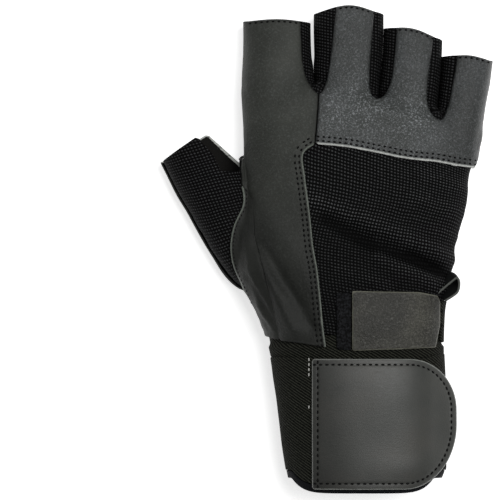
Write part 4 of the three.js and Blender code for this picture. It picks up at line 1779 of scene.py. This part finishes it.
@dataclass
class PalmSide:
    """The palm and thumb leather, and the layers sewn on them."""

    double: tuple[float, float] = (1.2, 3.0)
    mouth_inset: float = 3.2
    thumb_insets: tuple[float, float] = (-1.4, -3.1)
    thumb_mouth_inset: float = -2.4
    pressed: float = 0.25
    pressed_to: tuple[float, float] = (1.4, 4.0)
    palm_swells: tuple[Swell, ...] = (Swell(12, 0.3, 31),)
    thumb_swells: tuple[Swell, ...] = (Swell(11, 0.25, 41),)
    wrinkles: tuple[Crease, ...] = (
        Crease([(-0.46, 1.02), (-0.3, 0.99), (-0.2, 1.0)], 1.2, -0.7),
        Crease([(-0.47, 1.1), (-0.33, 1.06), (-0.22, 1.08)], 1.1, -0.5),
        Crease([(-0.15, 1.04), (-0.05, 0.98), (0.04, 0.99)], 1.2, -0.7),
        Crease([(-0.14, 1.13), (-0.03, 1.09), (0.05, 1.12)], 1.0, -0.5),
        Crease([(0.1, 0.98), (0.2, 0.92), (0.28, 0.94)], 1.2, -0.7),
        Crease([(0.12, 1.06), (0.2, 1.03), (0.28, 1.05)], 1.0, -0.5),
        Crease([(0.35, 0.9), (0.42, 0.86), (0.48, 0.88)], 1.1, -0.6),
        Crease([(-0.5, 0.35), (-0.42, 0.3), (-0.3, 0.34)], 1.4, -0.6),
    )

    def relief(self, points: np.ndarray) -> np.ndarray:
        """Wrinkles and swells, which leave flat what the glove rests on."""
        free = self.pressed + (1 - self.pressed) * smoothstep(points[:, 2], *self.pressed_to)
        return (creased(points, self.wrinkles) + swelled(points, self.palm_swells)) * free - PALM_SINK

    def build(self, form: GloveForm, finishes: Finishes) -> None:
        """Builds the palm, the thumb and the two layers, and sews their rows.

        Args:
            form: the glove's form.
            finishes: the glove's finishes.
        """
        seam, rim, heel_edge = soft(THUMB_SEAM, 80), plan(THUMB_PALM_RIM), plan(HEEL_PATCH)
        line = np.vstack([plan([(-0.512, 0.95)]), seam, plan([(-0.7, 0.03)])])
        outline = np.vstack([
            plan([(-0.7, PAST_ALL), (-0.7, 1.1)]), line, plan([(-0.7, 0), (0.8, 0), (0.8, PAST_ALL)]),
        ])
        palm = Panel(
            "palm_leather", Region(outline, Side.PALM, openings(), rolled=turned_edges(), seams=[line]),
            relief=self.relief, lining=finishes.flesh,
        ).build(form.whole(LEATHER_LEVEL), finishes.palm)
        outline = np.vstack([rim, seam, plan([(-1.0, 0.03), (-1.0, 0.7)])])
        thumb = Panel(
            "thumb_leather", Region(outline, Side.PALM, raw=[rim], seams=[line]),
            swells=self.thumb_swells, relief=-PALM_SINK, lining=finishes.flesh,
        ).build(form.whole(LEATHER_LEVEL), finishes.palm)
        overlay_edge = np.vstack([plan(OVERLAY_SEAM), plan(OVERLAY_FOOT)])
        overlay, heel = (
            Panel(
                name, Region(edge, Side.PALM, raw=[ring_of(edge)]), wall=OVERLAY_WALL,
                profile=Profile(rows=self.double),
            ).build(form.whole(OVERLAY_LEVEL), finishes.palm)
            for name, edge in (("palm_overlay", overlay_edge), ("heel_patch", heel_edge))
        )
        rows = [StitchRow(mouth_line(i), -self.mouth_inset) for i in range(len(MOUTHS))]
        palm.sew("palm_stitches", rows, finishes.thread)
        rows = [StitchRow(seam, inset, length=1.4) for inset in self.thumb_insets]
        rows.append(StitchRow(rim, self.thumb_mouth_inset, length=1.4))
        thumb.sew("thumb_stitches", rows, finishes.thread)
        rows = [StitchRow(ring_of(overlay_edge), -inset) for inset in self.double]
        overlay.sew("overlay_stitches", rows, finishes.thread)
        rows = [StitchRow(ring_of(heel_edge), inset) for inset in self.double]
        heel.sew("heel_stitches", rows, finishes.thread)


@dataclass
class Knits:
    """The knit of the back, between the fingers and over the thumb."""

    folds: tuple[Crease, ...] = (
        Crease([(-0.22, 0.58), (0.06, 0.475), (0.38, 0.34)], 3.2, 1.3),
        Crease([(-0.16, 0.5), (0.05, 0.39), (0.31, 0.3)], 2.8, -1.3),
        Crease([(0.07, 0.355), (0.33, 0.235)], 3.0, 1.3),
        Crease([(0.2, 0.36), (0.36, 0.27)], 2.2, -0.8),
        Crease([(0.2, 0.6), (0.42, 0.52)], 2.6, 0.6),
        Crease([(0.25, 0.68), (0.45, 0.62)], 2.5, 0.6),
        Crease([(0.3, 0.46), (0.42, 0.42)], 2.0, 0.5),
        Crease([(-0.1, 0.3), (0.1, 0.24)], 2.5, 0.5),
    )
    folds_rise: tuple[float, float] = (12.0, 22.0)
    back_swells: tuple[Swell, ...] = (Swell(7, 0.35, 51),)
    thumb_swells: tuple[Swell, ...] = (Swell(9, 0.4, 61),)
    touching: float = 0.01
    most_swell: float = 1.2
    parting: tuple[float, float] = (128.0, 122.0)
    crotch_fill: float = 0.4
    crotch_reach: tuple[float, float] = (10.0, 3.0)
    slot_reach: tuple[float, float] = (0.3, 1.6)
    dye: float = 0.5
    # The knit between the fingers and over the thumb is darkened more than the back's
    other_darkening: float = 0.6
    # Painted highlight on the folds' ridges and painted shade in their valleys
    fold_light_and_shade: float = 0.3
    # The back knit darkens towards the wrist
    back_fades: tuple[Fade, ...] = (Fade(1, 78, 20, 0.22),)

    def back_relief(self, points: np.ndarray) -> np.ndarray:
        """The folds, which leave the sides of the hand smooth."""
        return creased(points, self.folds) * smoothstep(points[:, 2], *self.folds_rise)

    def back_shade(self, points: np.ndarray) -> np.ndarray:
        """Painted shade in the folds' valleys and painted highlight on their ridges, over an even darkening
        of the knit.
        """
        return self.dye - self.fold_light_and_shade * np.clip(creased(points, self.folds), -1, 1)

    def between(self, i: int, line: Plan) -> Callable:
        """How far the knit beside a gap swells to meet across it, low down only in the first gap.

        Args:
            i: the finger at the gap's left.
            line: the slot between the fingers.

        Returns:
            The lift at each point.
        """
        left, right = (FingerForm(rows=rows) for rows in FINGERS[i:i + 2])
        outline = slot_outline(line, 0)
        crotch = outline[:, 1].min()

        def lift(points: np.ndarray) -> np.ndarray:
            """The lift that closes the gap.

            Args:
                points: places in mm.

            Returns:
                The lift in mm.
            """
            along = points[:, 1]
            gap = right.section(along)[:, 0] - left.section(along)[:, 1]
            half = np.clip(gap / 2 - self.touching, 0, self.most_swell)
            half += self.crotch_fill * smoothstep(along - crotch, *self.crotch_reach)
            low = 1.0 if i else smoothstep(along, *self.parting)
            return half * low * smoothstep(signed_distance(outline, points[:, :2]), *self.slot_reach)

        return lift

    def build(self, form: GloveForm, finishes: Finishes) -> None:
        """Builds the knit panels, which run on under the leather.

        Args:
            form: the glove's form.
            finishes: the glove's finishes.
        """
        edge, hem = shifted(soft(STRIP_EDGE), -LAP, 0), shifted(soft(KNUCKLE_HEM), 0, LAP)
        outline = np.vstack([edge, plan([(0.8, -0.05), (0.8, 0.74)]), hem[::-1]])
        wrist = below(np.array([(0.0, LAP + SEAM_GAP)]))
        panels = [Panel(
            "back_knit", Region(outline, Side.BACK, [wrist], drop_below_seam=LAP),
            swells=self.back_swells, relief=self.back_relief, shade=self.back_shade, fades=self.back_fades,
        )]
        for i, (name, line) in enumerate(SLOTS.items()):
            region = Region(slot_outline(line, LAP), holes=[past_mouths()])
            panels.append(Panel(name, region, relief=self.between(i, line), shade=self.other_darkening))
        side = shifted(soft(STRIP_SIDE), LAP, 0)
        outline = np.vstack([plan(THUMB_BACK_RIM), side[::-1], plan([(-0.9, 0.03), (-1.0, 0.7)])])
        panels.append(Panel(
            "thumb_knit", Region(outline, Side.BACK, drop_below_seam=LAP),
            swells=self.thumb_swells, shade=self.other_darkening,
        ))
        for panel in panels:
            panel.slot, panel.wall, panel.cuts = "stretch_knit", KNIT_WALL, ()
            skin = form.hand(0) if panel.name == "back_knit" else form.whole(0)
            panel.build(skin, finishes.knit)


def foot_line(count: int = 40) -> np.ndarray:
    """The open end's edge, whose corners turn up.

    Args:
        count: how many points it gets.

    Returns:
        Points in mm.
    """
    share = np.linspace(-1, 1, count)
    rise = FOOT_RISE * np.abs(share) ** FOOT_FULLNESS
    return np.column_stack([share * FOOT_REACH * CUFF_WIDTH, CUFF_FOOT * CUFF_LENGTH + rise])


@dataclass
class Cuff:
    """The elastic sleeve, the wrap round it, its hem and its leather end."""

    patch_columns: int = 70
    patch_rows: int = 62
    patch_margin: float = 2.0
    patch_inset: float = 2.6
    patch_swells: tuple[Swell, ...] = (Swell(24, 0.35, 81),)
    # Painted shade towards the strap end's left end and its lower edge, which leaves its brightest part right
    # of the middle
    patch_painted_shade: tuple[Fade, ...] = (
        Fade(0, PATCH_START + 0.42 * PATCH_LENGTH, PATCH_START, 0.34),
        Fade(1, PATCH_TOP - 0.7 * PATCH_WIDTH, PATCH_TOP - PATCH_WIDTH, 0.22),
    )
    upper_corner: tuple[float, float] = (0.33 * PATCH_LENGTH, 0.386 * PATCH_WIDTH)
    lower_corner: tuple[float, float] = (0.364 * PATCH_LENGTH, 0.486 * PATCH_WIDTH)
    wrap_swells: tuple[Swell, ...] = (Swell(13, 0.35, 71),)
    band_rise: float = 1.35
    band_foot: tuple[float, float] = (-6.6, -5.0)
    band_top: tuple[float, float] = (1.2, -0.8)
    band_sides: tuple[float, float] = (24.0, 34.0)
    band_middle: float = -2.0
    band_share: float = 0.35
    frayed: tuple[float, ...] = (-7.0, -9.2, -11.4, -13.6, -27.7)
    frayed_aside: float = 1.2

    def sleeve_relief(self, points: np.ndarray) -> np.ndarray:
        """The sleeve swells between the leather's foot and the wrap's top edge, most at its sides.

        Args:
            points: places in mm.

        Returns:
            The lift in mm.
        """
        x, y = points[:, 0], points[:, 1]
        band = smoothstep(y, *self.band_foot) * smoothstep(y, *self.band_top)
        sides = smoothstep(np.abs(x - self.band_middle), *self.band_sides)
        return self.band_rise * band * (self.band_share + (1 - self.band_share) * sides)

    def patch_outline(self) -> np.ndarray:
        """The strap's end with its round corners.

        Returns:
            Points in mm.
        """
        right, bottom = PATCH_START + PATCH_LENGTH, PATCH_TOP - PATCH_WIDTH
        upper, lower = np.array(self.upper_corner), np.array(self.lower_corner)
        turn = np.linspace(0, math.pi / 2, 24)[:, None]
        swing = np.hstack([np.sin(turn), np.cos(turn)])
        low = np.array((right, bottom)) + lower * (-1, 1) + lower * swing * (1, -1)
        high = np.array((right, PATCH_TOP)) - upper + upper * swing[::-1]
        return np.vstack([[(PATCH_START, bottom)], low, high, [(PATCH_START, PATCH_TOP)]])

    def patch_skin(self, form: GloveForm) -> bmesh.types.BMesh:
        """A sheet that lies on the wrap and runs off it straight at the side.

        Args:
            form: the glove's form.

        Returns:
            The sheet, a little wider than the patch all round.
        """
        bm, share = flat_grid(self.patch_columns, self.patch_rows)
        margin = self.patch_margin
        x = PATCH_START - margin + share[:, 0] * (PATCH_LENGTH + 2 * margin)
        y = PATCH_TOP + margin - (1 - share[:, 1]) * (PATCH_WIDTH + 2 * margin)
        left, right, height, rest, _ = form.body.section(y).T
        level = WRAP_LEVEL + PLY_GAP
        reach = (right - left) / 2 + level
        rise = height * (1 - WIDEST_SHARE) + level
        seat = rest + height * WIDEST_SHARE
        across = (x - (left + right) / 2) / reach
        power = BODY_SQUARENESS

        def height_at(value: np.ndarray) -> np.ndarray:
            """Height of the wrap at a share of its half width."""
            return seat + rise * np.maximum(1 - np.abs(value) ** power, 0) ** (1 / power)

        step = 0.01
        turn = np.zeros(len(x))
        for _ in range(round(1 / step)):
            gentle = (height_at(turn) - height_at(turn + step)) / (step * reach) < PATCH_STEEPEST
            turn = np.where(gentle, turn + step, turn)
        past = np.maximum(0, across - turn) * reach
        up = height_at(np.minimum(across, turn)) - past * PATCH_STEEPEST + PATCH_WALL
        map_flat(bm, np.column_stack([x, y]))
        move_to(bm, np.column_stack([x, y, up]))
        return bm

    def build(self, form: GloveForm, finishes: Finishes) -> None:
        """Builds the cuff's pieces.

        Args:
            form: the glove's form.
            finishes: the glove's finishes.
        """
        foot, top = foot_line(), soft(WRAP_TOP)
        hem_top = shifted(foot, 0, HEM_WIDTH)
        wrap_foot = shifted(hem_top, 0, SEAM_GAP)
        Panel(
            "cuff_elastic", Region(below(np.array([(0.0, LAP)])), holes=[below(foot)]),
            "woven_elastic", KNIT_WALL, cuts=(), relief=self.sleeve_relief,
        ).build(form.hand(0), finishes.twill)
        wrap = Panel(
            "wrist_wrap", Region(below(top), holes=[below(wrap_foot)], rolled=[top]),
            "woven_elastic", WRAP_WALL, Profile(roll=0.6), swells=self.wrap_swells,
        ).build(form.hand(WRAP_LEVEL), finishes.twill)
        Panel(
            "cuff_hem", Region(below(hem_top), holes=[below(foot)]), "hem_binding", HEM_WALL, cuts=(),
        ).build(form.hand(PLY_GAP + HEM_WALL), finishes.binding)
        outline, inset = self.patch_outline(), self.patch_inset
        patch = Panel(
            "wrap_patch", Region(outline, raw=[ring_of(outline)]), "patch_leather", PATCH_WALL,
            Profile(rows=(inset,)), cuts=(0.3, 0.7, inset - 0.6, inset, inset + 0.6),
            swells=self.patch_swells, fades=self.patch_painted_shade,
        ).build(self.patch_skin(form), finishes.patch)
        rows = [StitchRow(ring_of(outline), inset, pitch=2.7, length=1.8, thickness=1.0)]
        patch.sew("patch_stitches", rows, finishes.thread)
        place = PATCH_START - self.frayed_aside
        ends = [np.array([(place, y), (place, y + 1.0)]) for y in self.frayed]
        rows = [StitchRow(end, 0, length=1.0, thickness=0.7) for end in ends]
        wrap.sew("frayed_ends", rows, finishes.lint, "patch_leather")


@dataclass
class Tab:
    """The pull tab on the back: strap, hook tape, side elastic and ribbon loop."""

    loop_steps: int = 72
    loop_rows: int = 16
    selvedge: float = 0.8
    # Pale grain tops on the strap, where worn and as painted glints
    rub_and_glint: float = 0.1

    def loop(self, finishes: Finishes) -> None:
        """The ribbon, which leans so that its face shows along the near arm.

        Args:
            finishes: the glove's finishes.
        """
        lower, upper = soft(LOOP_LOWER, self.loop_steps + 1), soft(LOOP_UPPER, self.loop_steps + 1)
        bm, grid = flat_grid(self.loop_steps, self.loop_rows)
        step = np.rint(grid[:, 0] * self.loop_steps).astype(int)
        share = grid[:, 1:2]
        up = LOOP_HEIGHT + (share - 0.5) * LOOP_WIDTH
        move_to(bm, np.hstack([lower[step] * (1 - share) + upper[step] * share, up]))
        store(bm, "wear_and_glint", np.where(np.isin(share[:, 0], (0, 1)), self.selvedge, 0))
        piece = object_of(bm, "pull_loop_ribbon")
        thickened(piece, LOOP_THICKNESS, 0)
        dressed(piece, finishes.ribbon, ["pull_loop"])

    def build(self, form: GloveForm, finishes: Finishes) -> None:
        """Builds the tab's flat layers and its loop.

        Args:
            form: the glove's form.
            finishes: the glove's finishes.
        """
        for name, slot, outline, wall, finish, rub_and_glint in (
            ("tab_strap", "soft_leather", TAB_OUTLINE, LEATHER_WALL, finishes.tab, self.rub_and_glint),
            ("tab_hook", "hook_tape", HOOK_OUTLINE, HOOK_WALL, finishes.hook, 0.0),
            ("tab_elastic", "woven_elastic", TAB_ELASTIC_OUTLINE, TAB_ELASTIC_WALL, finishes.twill, 0.0),
        ):
            edge = plan(outline)
            region = Region(edge, Side.BACK, raw=[ring_of(edge)])
            Panel(name, region, slot, wall, wear_and_glint=rub_and_glint).build(form.hand(PLY_GAP + wall), finish)
        self.loop(finishes)


@dataclass(frozen=True)
class Studio:
    """The pale floor, the soft lights and the camera over the glove."""

    view_width: float = 220.0
    distance: float = 2000.0
    middle: tuple[float, float] = (-33.9, -0.66)
    focus_height: float = 20.0
    elevation: float = 88.5

    def floor(self) -> None:
        """A wide pale surface under the glove."""
        bm = bmesh.new()
        bmesh.ops.create_grid(bm, x_segments=1, y_segments=1, size=3)
        bmesh.ops.translate(bm, verts=bm.verts, vec=(0, 0, -0.15 * MM))
        surface = object_of(bm, "floor")
        surface.data.materials.append(GlowingPaper().material())

    def camera(self) -> None:
        """A long lens that looks almost straight down."""
        lens = bpy.data.cameras.new("camera")
        lens.sensor_width = 36
        lens.lens = lens.sensor_width * self.distance / self.view_width
        lens.clip_end = 20
        camera = bpy.data.objects.new("camera", lens)
        bpy.context.scene.collection.objects.link(camera)
        tilt = math.radians(90 - self.elevation)
        target = Vector((*self.middle, self.focus_height)) * MM
        camera.rotation_euler = (tilt, 0, 0)
        camera.location = target + Vector((0, -math.sin(tilt), math.cos(tilt))) * self.distance * MM
        bpy.context.scene.camera = camera

    def lamp(self, name: str, place: tuple[float, float, float], size: float, power: float) -> None:
        """A square softbox that faces the glove.

        Args:
            name: the lamp's name.
            place: where it hangs, in metres.
            size: its side in metres.
            power: its power in watts.
        """
        light = bpy.data.lights.new(name, "AREA")
        light.size = size
        light.energy = power
        lamp = bpy.data.objects.new(name, light)
        lamp.location = place
        lamp.rotation_euler = Vector(place).to_track_quat("Z", "Y").to_euler()
        bpy.context.scene.collection.objects.link(lamp)

    def build(self) -> None:
        """Sets up the whole studio."""
        scene = bpy.context.scene
        scene.view_settings.view_transform = "Standard"
        world = bpy.data.worlds.new("studio")
        world.use_nodes = True
        world.node_tree.nodes["Background"].inputs["Color"].default_value = (1, 1, 1, 1)
        world.node_tree.nodes["Background"].inputs["Strength"].default_value = 0.25
        scene.world = world
        self.floor()
        self.camera()
        self.lamp("key", place=(0.4, 0.2, 1.25), size=0.7, power=12)
        self.lamp("fill", place=(-0.5, 0.9, 0.9), size=1.0, power=2)


def main() -> None:
    """Builds the studio and the glove, piece by piece."""
    logging.basicConfig(level=logging.INFO, format="%(name)s %(message)s")
    Studio().build()
    finishes = Finishes.make()
    form = GloveForm()
    for part in (BackLeather(), PalmSide(), Knits(), Cuff(), Tab()):
        part.build(form, finishes)
    for skin in form.skins.values():
        skin.free()


if __name__ == "__main__":
    main()
